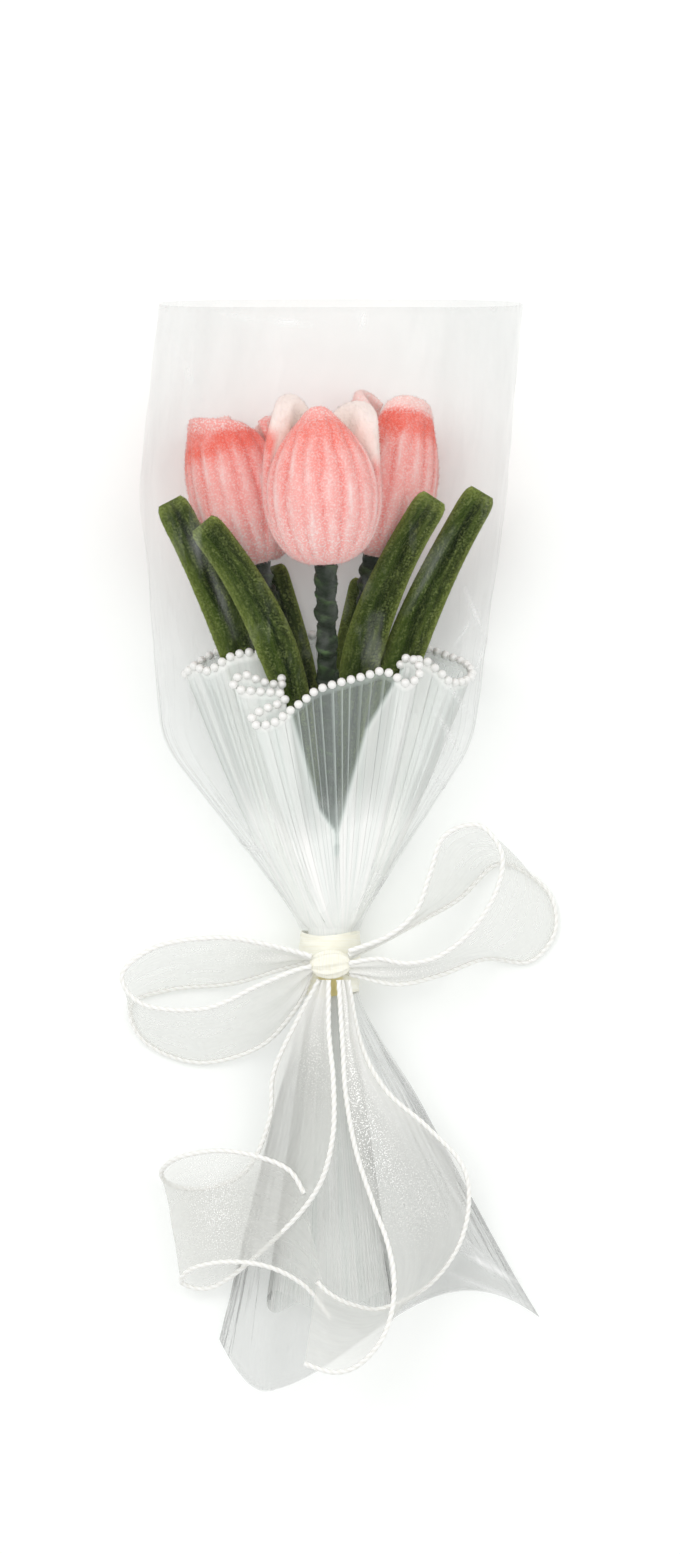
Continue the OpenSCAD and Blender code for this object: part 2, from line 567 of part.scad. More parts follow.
module pearl_string() {
    count = floor(RIM_RUN[COLLAR_SIDES] / pearl_pitch);
    color("ivory") translate(waist_place)
        for (k = [0 : count - 1]) {
            translate(pearl_place(RIM_RUN[COLLAR_SIDES] * k / count)) sphere(d = pearl_d);
        }
}

module tie_band() {
    color(band_cream) translate(waist_place + [0, band_y, waist_z]) rotate([90, 0, 0])
        difference() {
            cylinder(r = band_r + band_t, h = band_len, center = true);
            cylinder(r = band_r, h = band_len + 2, center = true);
        }
}

// Knot: a pinched cushion of ribbon, waisted in the middle
module bow_knot() {
    stations = [[-1, 0.68, 0.6], [-0.65, 1, 0.95], [0, 0.88, 0.9], [0.65, 1, 0.95], [1, 0.68, 0.6]];
    rings = [for (s = stations) [for (j = [0 : 15])
        let (a = 360 * j / 16)
        [knot_w * s.x, knot_y + knot_l * s.y * cos(a), knot_z + knot_h * s.z * sin(a)]]];
    color(band_cream) translate(waist_place) skin(rings);
}

// Ribbon along its stations: a thin web between two round cords
RIBBON_STEPS = 2;
cord_reach = 1.2;
module ribbon(stations) {
    low = curve([for (s = stations) s[0]], RIBBON_STEPS);
    high = curve([for (s = stations) s[0] + ribbon_w * s[1]], RIBBON_STEPS);
    n = len(low) - 1;
    h = web_t / 2;
    c = cord_r;
    rings = [for (i = [0 : n])
        let (a = low[i], b = high[i], w = unit(b - a), p = max(0, i - 1), q = min(n, i + 1),
             along = low[q] + high[q] - low[p] - high[p], up = unit(cross(w, along)),
             in_a = a + cord_reach * c * w, in_b = b - cord_reach * c * w,
             front = [a - c * w + h * up, a + c * up, in_a + h * up, in_b + h * up, b + c * up, b + c * w + h * up],
             back = [a - c * w - h * up, a - c * up, in_a - h * up, in_b - h * up, b - c * up, b + c * w - h * up])
        concat(front, [for (k = [5 : -1 : 0]) back[k]])];
    color(ribbon_white, 0.7) translate(waist_place) skin(rings);
}

RIBBONS = [["left_loop", LEFT_LOOP], ["right_loop", RIGHT_LOOP], ["left_tail", LEFT_TAIL], ["right_tail", RIGHT_TAIL]];

for (h = HEADS, k = [1 : petals]) {
    outer_petal(h, k);
    inner_petal(h, k);
}
for (h = HEADS) {
    stem_wire(h);
    stem_tape(h);
}
for (l = LEAVES) {
    leaf(l);
}
organza_collar();
pearl_string();
film_sleeve();
tie_band();
bow_knot();
for (r = RIBBONS) {
    ribbon(r[1]);
}
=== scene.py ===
"""Gift bouquet of three chenille tulips in a clear sleeve, lying on a white table."""
import json
import math

import bpy
import numpy as np
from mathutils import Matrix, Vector


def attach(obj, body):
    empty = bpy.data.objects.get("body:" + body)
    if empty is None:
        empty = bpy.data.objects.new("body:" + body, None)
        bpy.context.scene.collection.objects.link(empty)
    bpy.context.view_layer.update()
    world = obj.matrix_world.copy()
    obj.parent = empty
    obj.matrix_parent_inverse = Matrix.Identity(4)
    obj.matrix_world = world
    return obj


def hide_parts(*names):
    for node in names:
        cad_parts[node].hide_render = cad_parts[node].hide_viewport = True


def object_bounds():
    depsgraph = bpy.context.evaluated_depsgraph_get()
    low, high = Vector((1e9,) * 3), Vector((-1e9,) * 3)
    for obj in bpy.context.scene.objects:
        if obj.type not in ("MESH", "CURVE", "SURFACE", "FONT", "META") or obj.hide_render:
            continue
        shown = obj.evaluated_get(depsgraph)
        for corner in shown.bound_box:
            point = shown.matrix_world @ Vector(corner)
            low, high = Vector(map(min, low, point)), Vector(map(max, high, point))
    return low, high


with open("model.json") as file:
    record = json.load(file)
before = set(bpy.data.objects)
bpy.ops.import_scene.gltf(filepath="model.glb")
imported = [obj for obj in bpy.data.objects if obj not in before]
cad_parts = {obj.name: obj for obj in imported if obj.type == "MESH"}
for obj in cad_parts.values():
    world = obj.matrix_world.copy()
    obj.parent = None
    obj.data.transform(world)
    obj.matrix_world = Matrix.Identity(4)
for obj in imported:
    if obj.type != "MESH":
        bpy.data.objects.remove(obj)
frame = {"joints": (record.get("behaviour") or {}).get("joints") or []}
cad_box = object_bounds()
scene = bpy.context.scene
JOINTS = {j["name"]: j for j in frame["joints"]}

# Lengths below are in millimetres from the waist, where the stems are tied, as in the part's own source.
# The knot lies above the waist, and its place in the frame gives the waist's.
KNOT_Y = -5.5
KNOT_PLACE = np.array(JOINTS["left_loop_swing"]["pos_m"]) * 1000
KNOT_Z = KNOT_PLACE[2]
WAIST = np.array([KNOT_PLACE[0], KNOT_PLACE[1] - KNOT_Y, 0.0])
WAIST_Z = 13.0
WAIST_TOP = 7.0
WAIST_LOW = -18.0
HEAD_BASE = {n: np.array(JOINTS[n + "_head_nod"]["pos_m"]) * 1000 - WAIST for n in ("left", "front", "right")}
LEAF_ROOT = {n[:-5]: np.array(j["pos_m"]) * 1000 - WAIST for n, j in JOINTS.items() if n.endswith("_leaf_bend")}

HEAD_LEN = 55.0
BELLY_Y = 23.0
NECK_R = 7.0
PETAL_T = 4.2
TAPE_R = 3.2


def tint(r, g, b):
    """Linear colour of an sRGB colour given from 0 to 255."""
    c = np.array([r, g, b]) / 255
    return tuple(np.where(c <= 0.04045, c / 12.92, ((c + 0.055) / 1.055) ** 2.4)) + (1.0,)


def unit(v):
    """Vectors along the last axis, each divided by its length."""
    return v / np.maximum(np.linalg.norm(v, axis=-1, keepdims=True), 1e-9)


def mix(a, b, t):
    """The value t of the way from a to b."""
    return a + (b - a) * t


def within(t):
    """The value, kept between 0 and 1."""
    return np.clip(t, 0, 1)


def ease(t):
    """Smooth step from 0 at t = 0 to 1 at t = 1."""
    t = within(t)
    return t * t * (3 - 2 * t)


def dome(t):
    """Quarter of a circle: 1 at t = 0, falling to 0 at t = 1."""
    return np.sqrt(1 - within(t) ** 2)


def power(v, e):
    """A power of a signed value that keeps its sign."""
    return np.sign(v) * np.abs(v) ** e


def turns(count):
    """Even turns round a circle, in radians."""
    return np.linspace(0, 2 * np.pi, count, endpoint=False)


def ripple(phase, seed, waves=5):
    """Sum of sines of a phase with seeded frequencies and shifts, about -1 to 1, that looks like soft noise."""
    rng = np.random.default_rng(seed)
    total = 0
    for k in range(waves):
        total = total + np.sin(phase * rng.uniform(0.6, 2.6) * (k + 1) ** 0.7 + rng.uniform(0, 2 * np.pi))
    return total / waves ** 0.5 / 1.4


def spline(points, steps, closed=False):
    """Catmull-Rom curve through the points, with a number of steps to each span."""
    p = np.asarray(points, float)
    n = len(p)
    spans = n if closed else n - 1
    i = np.repeat(np.arange(spans), steps)
    t = np.tile(np.arange(steps) / steps, spans)[:, None]
    pick = (lambda k: p[k % n]) if closed else (lambda k: p[np.clip(k, 0, n - 1)])
    a, b, c, d = pick(i - 1), pick(i), pick(i + 1), pick(i + 2)
    curve = b + 0.5 * t * (c - a + t * (2 * a - 5 * b + 4 * c - d + t * (3 * (b - c) + d - a)))
    return curve if closed else np.vstack([curve, p[-1]])


def run_along(path):
    """Distance along a path at each of its points."""
    return np.concatenate([[0], np.cumsum(np.linalg.norm(np.diff(path, axis=0), axis=1))])


def resample(path, count):
    """Points at even distances along a path."""
    run = run_along(path)
    at = np.linspace(0, run[-1], count)
    return np.stack([np.interp(at, run, path[:, k]) for k in range(path.shape[1])], axis=1)


def bezier(a, b, c, t):
    """Quadratic curve from a to c, drawn towards b."""
    return (1 - t) ** 2 * a + 2 * t * (1 - t) * b + t ** 2 * c


def grid_faces(rows, cols, wrap_cols=False, wrap_rows=False):
    """Quads of a grid of rows by columns, joined round where it wraps."""
    i = np.arange(rows if wrap_rows else rows - 1)[:, None]
    j = np.arange(cols if wrap_cols else cols - 1)[None, :]
    a = i * cols + j
    b = i * cols + (j + 1) % cols
    c = (i + 1) % rows * cols + (j + 1) % cols
    d = (i + 1) % rows * cols + j
    return np.stack([a, b, c, d], axis=-1).reshape(-1, 4)


def end_caps(rows, cols):
    """First and last ring of a tube's grid as one face each, wound with the sides."""
    return [list(range(cols))[::-1], list(range((rows - 1) * cols, rows * cols))]


def grid_normals(p, wrap_cols=False):
    """Unit normals of a grid of points, from the differences along its rows and columns."""
    across = np.roll(p, -1, 1) - np.roll(p, 1, 1) if wrap_cols else np.gradient(p, axis=1)
    return unit(np.cross(across, np.gradient(p, axis=0)))


def piece(name, body, points, faces, values, material, replaces=(), normals=None):
    """Mesh object from points in millimetres from the waist, with one value to a point for each named attribute."""
    mesh = bpy.data.meshes.new(name)
    mesh.from_pydata(((np.asarray(points).reshape(-1, 3) + WAIST) / 1000).tolist(), [], faces)
    for key, value in values.items():
        flat = np.ascontiguousarray(np.asarray(value, np.float32).ravel())
        mesh.attributes.new(key, "FLOAT", "POINT").data.foreach_set("value", flat)
    mesh.polygons.foreach_set("use_smooth", np.full(len(mesh.polygons), True))
    mesh.update()
    mesh.validate()
    if normals is not None:
        mesh.normals_split_custom_set_from_vertices(np.asarray(normals).reshape(-1, 3).tolist())
    obj = bpy.data.objects.new(name, mesh)
    scene.collection.objects.link(obj)
    obj.data.materials.append(material)
    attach(obj, body)
    if replaces:
        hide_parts(*replaces)
    return obj


class Shader:
    """Short calls for the nodes of one material, around one Principled shader."""

    def __init__(self, name, **settings):
        self.material = bpy.data.materials.new(name)
        self.material.use_nodes = True
        self.tree = self.material.node_tree
        self.bsdf = self.tree.nodes["Principled BSDF"]
        for key, value in settings.items():
            self.bsdf.inputs[key.replace("_", " ")].default_value = value

    def node(self, kind, inputs=None, **settings):
        """New node of a kind, with its settings and what goes into its sockets."""
        n = self.tree.nodes.new("ShaderNode" + kind)
        for key, value in settings.items():
            setattr(n, key, value)
        for key, value in (inputs or {}).items():
            self.put(n.inputs[key], value)
        return n

    def put(self, socket, value):
        """Link a socket into another, or set its value."""
        if isinstance(value, bpy.types.NodeSocket):
            self.tree.links.new(value, socket)
        else:
            socket.default_value = value

    def value(self, name):
        """Value of a named attribute of the mesh."""
        return self.node("Attribute", attribute_name=name).outputs["Fac"]

    def sums(self, operation, a, b=0.0, clamp=False):
        """Result of a Math node on two values."""
        n = self.node("Math", operation=operation, use_clamp=clamp)
        self.put(n.inputs[0], a)
        self.put(n.inputs[1], b)
        return n.outputs[0]

    def times(self, a, b, clamp=False):
        """Product of two values."""
        return self.sums("MULTIPLY", a, b, clamp)

    def plus(self, a, b, clamp=False):
        """Sum of two values."""
        return self.sums("ADD", a, b, clamp)

    def place(self):
        """Place on the object."""
        return self.node("TexCoord").outputs["Object"]

    def vector(self, x, y, z=0.0):
        """Vector from three values."""
        return self.node("CombineXYZ", {"X": x, "Y": y, "Z": z}).outputs[0]

    def noise(self, vector, scale, detail=2.0, roughness=0.5):
        """Noise at a place, from 0 to 1."""
        n = self.node("TexNoise", {"Vector": vector, "Scale": scale, "Detail": detail, "Roughness": roughness})
        return n.outputs["Fac"]

    def ramp(self, fac, low, high, low_out=0.0, high_out=1.0):
        """Straight ramp of a value from one range to another, held at its ends."""
        n = self.node("MapRange", {"Value": fac, "From Min": low, "From Max": high, "To Min": low_out,
                                   "To Max": high_out})
        return n.outputs[0]

    def blend(self, fac, a, b):
        """Colour that a share of the way leads from a to b."""
        n = self.node("Mix", data_type="RGBA")
        self.put(n.inputs["Factor"], fac)
        self.put(n.inputs[6], a)
        self.put(n.inputs[7], b)
        return n.outputs[2]

    def bump(self, height, strength, distance):
        """Relief of the surface by a height."""
        n = self.node("Bump", {"Height": height, "Strength": strength, "Distance": distance})
        self.put(self.bsdf.inputs["Normal"], n.outputs[0])

    def finish(self, **sockets):
        """Put values into the shader's sockets and give the material."""
        for key, value in sockets.items():
            self.put(self.bsdf.inputs[key.replace("_", " ")], value)
        return self.material


# Materials


def petal_pile(name, ridge, groove, coral, tip):
    """Velvet pile: pale on the strands, with painted shade in the grooves between them, painted highlights along the
    strands' crests, coral near the top with painted shade under the lip, cream inside, and painted glints as white
    speckles and on the fibre tips.
    """
    s = Shader(name, Roughness=0.9, Specular_IOR_Level=0.15, Sheen_Weight=0.45, Sheen_Roughness=0.4)
    s.bsdf.inputs["Sheen Tint"].default_value = tint(255, 240, 236)
    patch = s.ramp(s.noise(s.place(), 140.0, 3.0), 0.3, 0.7, 0.6, 1.2)
    # Painted shade: the deeper colour in the grooves between the strands.
    colour = s.blend(s.times(s.value("groove"), patch, clamp=True), ridge, groove)
    # Coral towards the top, with painted shade as the deep coral band under the lip.
    colour = s.blend(s.times(s.value("coral_with_lip_shade"), patch, clamp=True), colour, coral)
    # Painted highlights along the strands' crests, in the light tip colour.
    colour = s.blend(s.value("crest_highlight"), colour, tip)
    colour = s.blend(s.value("inside"), colour, tint(255, 246, 238))
    # Painted glints: white speckles and lighter fibre tips, where the pile catches light.
    speckle = s.ramp(s.noise(s.place(), 1500.0, 1.0), 0.46, 0.66)
    speckle_glint = s.times(speckle, s.value("speckle_glint"))
    colour = s.blend(s.plus(speckle_glint, s.times(s.value("fibre"), 0.3), clamp=True), colour, tip)
    s.bump(s.noise(s.place(), 1100.0, 2.0), 0.35, 0.0005)
    return s.finish(Base_Color=colour)


def leaf_pile():
    """Dark green velvet pile: olive on the strands, with painted shade near black in the furrow, painted highlights
    along the strands' crests, and painted rim light in yellow-green at the fuzzy edges.
    """
    s = Shader("leaf_pile", Roughness=0.9, Specular_IOR_Level=0.15, Sheen_Weight=0.12, Sheen_Roughness=0.4)
    s.bsdf.inputs["Sheen Tint"].default_value = tint(200, 215, 150)
    strand = s.ramp(s.value("around"), -0.15, 0.15, 0.1, -0.08)
    brushed = s.ramp(s.plus(streaks(s, 3.0, 1.4), strand), 0.38, 0.7)
    grain = s.ramp(s.noise(s.place(), 1300.0, 2.0), 0.42, 0.66)
    patch = s.ramp(streaks(s, 4.5, 5.0), 0.42, 0.62)
    colour = s.blend(brushed, tint(18, 33, 6), tint(60, 78, 25))
    fuzz = s.times(s.times(grain, patch), 0.8)
    colour = s.blend(fuzz, colour, tint(122, 136, 78))
    # Painted highlights along the strands' crests.
    colour = s.blend(s.times(s.value("crest_highlight"), 0.35), colour, tint(124, 140, 66))
    # Painted shade, near black, in the furrow between the leaf's two strands.
    colour = s.blend(s.value("groove"), colour, tint(14, 22, 5))
    # Painted rim light: yellow-green along the fuzzy edges and at the tip, where the pile catches light.
    rim_light = s.times(s.value("edge"), s.ramp(grain, 0.0, 1.0, 0.45, 0.95))
    colour = s.blend(rim_light, colour, tint(150, 164, 84))
    # Painted glint: the fibre tips lighter.
    colour = s.blend(s.times(s.value("fibre"), 0.5), colour, tint(140, 152, 90))
    s.bump(s.noise(s.place(), 900.0, 2.0), 0.4, 0.0006)
    return s.finish(Base_Color=colour)


def floral_tape():
    """Waxed crepe tape: dark green, paler in patches towards the raised edge of each lap, with fine crepe lines along
    the stem.
    """
    s = Shader("floral_tape", Roughness=0.42, Specular_IOR_Level=0.4)
    lap_patches = s.ramp(s.noise(s.place(), 300.0, 3.0), 0.42, 0.75)
    colour = s.blend(s.times(s.value("lap"), lap_patches), tint(9, 28, 3), tint(74, 104, 50))
    crepe = s.noise(s.vector(s.times(s.value("around"), 14.0), s.times(s.value("along"), 0.25)), 4.0, 2.0)
    s.bump(crepe, 0.5, 0.0004)
    return s.finish(Base_Color=colour)


def streaks(s, across, along, detail=3.0):
    """Noise drawn out along a sheet: fine across it and long along it."""
    v = s.vector(s.times(s.value("around"), across), s.times(s.value("along"), along))
    return s.noise(v, 1.0, detail, 0.6)


def organza():
    """Sheer organza: a pale grey-green veil that thickens to white along its pleats and at its hem."""
    s = Shader("organza", Roughness=0.55, Specular_IOR_Level=0.3, Sheen_Weight=0.1)
    fine = s.ramp(streaks(s, 150.0, 1.6), 0.5, 0.75)
    broad = s.ramp(streaks(s, 40.0, 1.0), 0.4, 0.7)
    streak = s.plus(s.times(fine, 0.08), s.times(broad, 0.08))
    alpha = s.plus(s.plus(streak, s.value("dense")), 0.2, clamp=True)
    shade = s.ramp(streaks(s, 55.0, 0.7), 0.36, 0.62, 0.5, 1.0)
    colour = s.blend(s.times(s.value("white"), shade), tint(227, 237, 232), tint(254, 254, 251))
    return s.finish(Base_Color=colour, Alpha=alpha)


def clear_film():
    """Clear film: a grey tint that deepens along its folds and edges, and on the skirt is partly painted shade, with
    painted white highlights along sharp creases.
    """
    s = Shader("clear_film", Roughness=0.12, Specular_IOR_Level=0.6)
    # Painted highlights: white streaks along creases, stronger where the film gathers.
    crease_glint = s.ramp(streaks(s, 40.0, 1.2), 0.56, 0.74)
    soft = s.ramp(streaks(s, 22.0, 0.8), 0.4, 0.75)
    gather = s.value("gather")
    white = s.times(crease_glint, s.plus(s.times(gather, 0.24), 0.02))
    # More painted highlights from the glint value.
    white = s.plus(white, s.value("glint"))
    # Grey tint of the film, which on the skirt is partly painted shade.
    grey = s.plus(s.times(soft, 0.04), s.plus(s.value("dense"), 0.034))
    grey = s.times(grey, s.ramp(gather, 0.0, 1.0, 1.0, 0.4))
    alpha = s.plus(white, grey, clamp=True)
    colour = s.blend(s.sums("DIVIDE", white, alpha, clamp=True), tint(98, 102, 95), tint(253, 254, 253))
    return s.finish(Base_Color=colour, Alpha=alpha)


def pearl():
    """Pearl beads: warm white with a clear coat."""
    s = Shader("pearl", Roughness=0.28, Specular_IOR_Level=0.6, Coat_Weight=0.6, Coat_Roughness=0.12)
    colour = s.blend(s.noise(s.place(), 500.0, 1.0), tint(255, 254, 250), tint(247, 247, 245))
    return s.finish(Base_Color=colour)


def ribbon_web():
    """Sheer ribbon: a fine veil with a faint shimmer along it and painted white sparkles in patches."""
    s = Shader("ribbon_web", Roughness=0.45, Specular_IOR_Level=0.4)
    shimmer = s.ramp(streaks(s, 9.0, 1.6), 0.35, 0.75)
    spark = s.ramp(s.noise(s.place(), 1700.0, 1.0), 0.56, 0.64)
    painted_sparkle = s.times(spark, s.value("painted_sparkle"))
    alpha = s.plus(s.times(shimmer, 0.08), s.value("dense"))
    alpha = s.plus(s.times(painted_sparkle, 0.7), s.plus(alpha, 0.28), clamp=True)
    colour = s.blend(s.plus(painted_sparkle, s.value("dense"), clamp=True), tint(227, 227, 222), tint(255, 255, 252))
    return s.finish(Base_Color=colour, Alpha=alpha)


def ribbon_cord():
    """Corded ribbon edge: ivory-white twisted yarn, with painted shade in the grooves of the twist."""
    s = Shader("ribbon_cord", Roughness=0.7, Specular_IOR_Level=0.3, Sheen_Weight=0.15)
    colour = s.blend(s.value("twist_shade"), tint(255, 255, 252), tint(243, 242, 236))
    return s.finish(Base_Color=colour)


def tie_satin():
    """Cream satin with soft wrinkles, with painted shade, darker and yellower, along streaks that stand for its folds,
    and yellow where the yellow value says.
    """
    s = Shader("tie_satin", Roughness=0.5, Specular_IOR_Level=0.4, Sheen_Weight=0.2)
    # Painted shade: streaks darken and yellow the satin as shade in its folds.
    fold = s.ramp(streaks(s, 5.0, 14.0), 0.4, 0.7)
    colour = s.blend(s.times(fold, 0.6), tint(255, 254, 242), tint(244, 239, 214))
    colour = s.blend(s.value("yellow"), colour, tint(238, 224, 158))
    s.bump(s.noise(s.place(), 700.0, 2.0), 0.15, 0.0004)
    return s.finish(Base_Color=colour)


# Colours: ridge, painted shade in the grooves, coral that also carries the painted shade under the lip, and the light
# tip colour of the painted highlights and glints.
PINK_PILE = petal_pile("petal_pile", tint(255, 186, 180), tint(246, 124, 116), tint(248, 116, 100),
                       tint(255, 240, 237))
CREAM_PILE = petal_pile("inner_petal_pile", tint(255, 228, 216), tint(250, 186, 172), tint(250, 176, 160),
                        tint(255, 238, 228))
LEAF_PILE = leaf_pile()
TAPE = floral_tape()
ORGANZA = organza()
FILM = clear_film()
PEARL = pearl()
WEB = ribbon_web()
CORD = ribbon_cord()
SATIN = tie_satin()


# Chenille: ridged bands of strands with a pile of short fibres


def pile(rng, points, normals, values, count, length, width, flow):
    """Fibres on a grid of points: three-sided spikes at random places, weighted by area, that lean along flow.

    A spike has its foot just under the surface, and takes the values of the place where it stands.
    """
    rows, cols = points.shape[:2]
    i, j = np.meshgrid(np.arange(rows - 1), np.arange(cols - 1), indexing="ij")
    cell = np.linalg.norm(np.cross(points[1:, :-1] - points[:-1, :-1], points[:-1, 1:] - points[:-1, :-1]), axis=-1)
    crowd = cell * (1 + 3 * values["edge"][:-1, :-1]) if "edge" in values else cell
    pick = rng.choice(cell.size, count, p=crowd.ravel() / crowd.sum())
    i, j = i.ravel()[pick], j.ravel()[pick]
    a, b = rng.random((2, count, 1))

    def at(grid):
        low = mix(grid[i, j], grid[i, j + 1], b if grid.ndim == 3 else b[:, 0])
        high = mix(grid[i + 1, j], grid[i + 1, j + 1], b if grid.ndim == 3 else b[:, 0])
        return mix(low, high, a if grid.ndim == 3 else a[:, 0])

    foot, up = at(points), unit(at(normals))
    way = unit(up + 0.35 * at(flow) + 0.4 * rng.normal(size=(count, 3)))
    side = unit(np.cross(way, rng.normal(size=(count, 3))))
    other = np.cross(way, side)
    reach = length * rng.uniform(0.5, 1.2, (count, 1))
    base = foot - 0.25 * up
    turn = np.radians([0, 120, 240])
    ring = base[:, None] + width / 2 * (np.cos(turn)[None, :, None] * side[:, None]
                                        + np.sin(turn)[None, :, None] * other[:, None])
    spikes = np.concatenate([ring, (foot + reach * way)[:, None]], axis=1).reshape(-1, 3)
    first = 4 * np.arange(count)[:, None]
    faces = np.concatenate([first + np.array(f) for f in ([0, 1, 3], [1, 2, 3], [2, 0, 3], [0, 2, 1])])
    carried = {k: np.repeat(at(v), 4) for k, v in values.items()}
    carried["fibre"] = np.tile([0.0, 0.0, 0.0, 1.0], count)
    return spikes, faces, carried


def band(rows, strands, samples, depth, seed, mapping):
    """Closed band of strands side by side: each row is a loop over its front and back, and mapping places it.

    Across a row s runs from -1 to 1; the front bulges over each strand as part of a circle and dips in between
    by depth, as a share of the half thickness, and the strands wander a little from side to side.
    The mapping takes the row's share of the length, s and the share of the half thickness.
    """
    n = strands * samples
    front = np.linspace(-1, 1, n + 1)
    s = np.concatenate([front, front[-2:0:-1]])[None, :]
    v = np.linspace(0, 1, rows)[:, None]
    wander = 0.02 * (1 - s * s) * ripple(4 * v + 3.1 * s, seed)
    place = (s + wander + 1) / 2 * strands
    q = place % 1 * 2 - 1
    chance = np.random.default_rng(seed).uniform(0.25, 1, strands + 2)
    deep = chance[np.clip(np.rint(place), 0, strands).astype(int)]
    strand = np.clip(np.floor(place), 0, strands - 1)
    # The painted highlight on the crests fades in and out along each strand.
    crest_fade = within(0.45 + 0.55 * ripple(5 * v + 2.3 * strand, seed + 1))
    crest_highlight = within(1 - np.abs(q + 0.25)) ** 4 * crest_fade
    bulge = 1 - depth * (1 - np.sqrt(1 - 0.97 * q * q))
    rim = np.sqrt(within(1 - np.abs(s) ** 7))
    inside = np.broadcast_to((np.arange(s.shape[1]) > n) * 1.0, q.shape)
    points = mapping(v, s, np.where(inside > 0, -1, 1) * rim * bulge)
    # Values for painted shade in the grooves and painted highlights on the crests, then the edges, rows, sides and
    # inside.
    return points, {"groove": np.abs(q) ** 2.4 * deep, "crest_highlight": crest_highlight, "edge": np.abs(s) ** 7 + 0 * v,
                    "row": v + 0 * s, "side": s + 0 * v, "inside": inside}


def chenille(name, body, points, values, material, fibres, length, width, seed):
    """Band of strands and its pile as one closed mesh."""
    rows, cols = points.shape[:2]
    loop = np.concatenate([points, points[:, :1]], axis=1)
    normals = -grid_normals(points, wrap_cols=True)
    centre = points.mean(axis=1, keepdims=True)
    if np.mean(np.sum(normals * (points - centre), axis=-1)) < 0:
        normals = -normals
    shut = {k: np.concatenate([v, v[:, :1]], axis=1) for k, v in values.items()}
    flow = unit(np.gradient(loop, axis=0))
    rng = np.random.default_rng(seed)
    spikes, spike_faces, carried = pile(rng, loop, np.concatenate([normals, normals[:, :1]], axis=1), shut, fibres,
                                        length, width, flow)
    quads = grid_faces(rows, cols, wrap_cols=True)
    caps = end_caps(rows, cols)
    p = points.reshape(-1, 3)
    a, b, c = p[quads[:, 0]], p[quads[:, 1]], p[quads[:, 2]]
    outward = np.sum(np.cross(b - a, c - a) * normals.reshape(-1, 3)[quads[:, 0]]) > 0
    if not outward:
        quads = quads[:, ::-1]
        caps = [f[::-1] for f in caps]
    faces = quads.tolist() + caps + (spike_faces + len(p)).tolist()
    mixed = {k: np.concatenate([v.ravel(), carried[k]]) for k, v in values.items()}
    mixed["fibre"] = np.concatenate([np.zeros(len(p)), carried["fibre"]])
    return piece(name, body, np.concatenate([p, spikes]), faces, mixed, material, [name])


# Flower heads: lean sideways, rise, turn of the petals, widest radius, each outer petal's place round the head and half
# span, how far each outer petal and the inner ones draw in, how much taller each outer petal and the inner ones stand,
# how far each outer petal's top edge falls to its sides, share of its span left at the top, slant of the top edge, roll
# of each lip, the share of the height where the coral band with painted shade under the lip is deepest, and how much
# coral is left on the lip, where less leaves a paler top as a painted highlight
EVEN_SPREAD = ((120, 58.5), (240, 58.5), (360, 58.5))
HEADS = {
    "left": dict(lean=14, rise=3, turn=-24, radius=19.5, spread=((132, 48), (240, 58.5), (372, 70)), draw=(6, 6, 6),
                 inner_draw=13, tall=(-4, 0, 2.5), inner_tall=-6, arch=(2.5, 2.5, 2.5), tip=0.8, slant=8,
                 roll=(2, 2, 3.4), lip=0.8, lip_coral=0.9),
    "front": dict(lean=3, rise=7, turn=0, radius=21.5, spread=((130, 48.5), (230, 48.5), (360, 78.5)), draw=(0, 5, 16),
                  inner_draw=15, tall=(0, 4, 0), inner_tall=-2, arch=(7, 8, 5), tip=0.8, slant=0, roll=(0, 0, 0),
                  lip=0.8, lip_coral=0.6),
    "right": dict(lean=-10, rise=3, turn=24, radius=19.5, spread=EVEN_SPREAD, draw=(10, 6, 6), inner_draw=13,
                  tall=(-4, 3, 4.5), inner_tall=-6, arch=(3, 5, 8), tip=0.9, slant=3, roll=(0, 3.4, 3.4), lip=0.83,
                  lip_coral=0.05),
}
STRAND_TURN = 19.5
PETAL_ROWS = 84
STRAND_COLS = 9
INNER_STRANDS = 4
INNER_GAP = 0.5
PAD = 5.0
KNOB = 1.5
FIBRE_LEN = 0.8
FIBRE_W = 0.24
FIBRES, INNER_FIBRES = 7000, 2500


def head_place(head, x, y, z):
    """Points of a head from its base, turned by its rise about X and then by its lean about Z."""
    rise, lean = np.radians(HEADS[head]["rise"]), np.radians(HEADS[head]["lean"])
    y, z = y * np.cos(rise) - z * np.sin(rise), y * np.sin(rise) + z * np.cos(rise)
    x, y = x * np.cos(lean) - y * np.sin(lean), x * np.sin(lean) + y * np.cos(lean)
    return np.stack(np.broadcast_arrays(x, y, z), axis=-1) + HEAD_BASE[head]


def meridian(radius, draw, drop, start, top):
    """Middle line of a petal as radius and height: round up to the belly and drawn in above it."""
    y = np.linspace(start, top, 240)
    low = NECK_R + (radius - NECK_R) * dome(1 - y / BELLY_Y)
    u = np.clip((y - BELLY_Y) / (HEAD_LEN - BELLY_Y), 0, 2)
    r = np.where(y < BELLY_Y, low, radius - draw * u ** 2.1) - PETAL_T / 2 - drop
    return resample(np.stack([np.maximum(r, 2.3), y], axis=1), PETAL_ROWS)


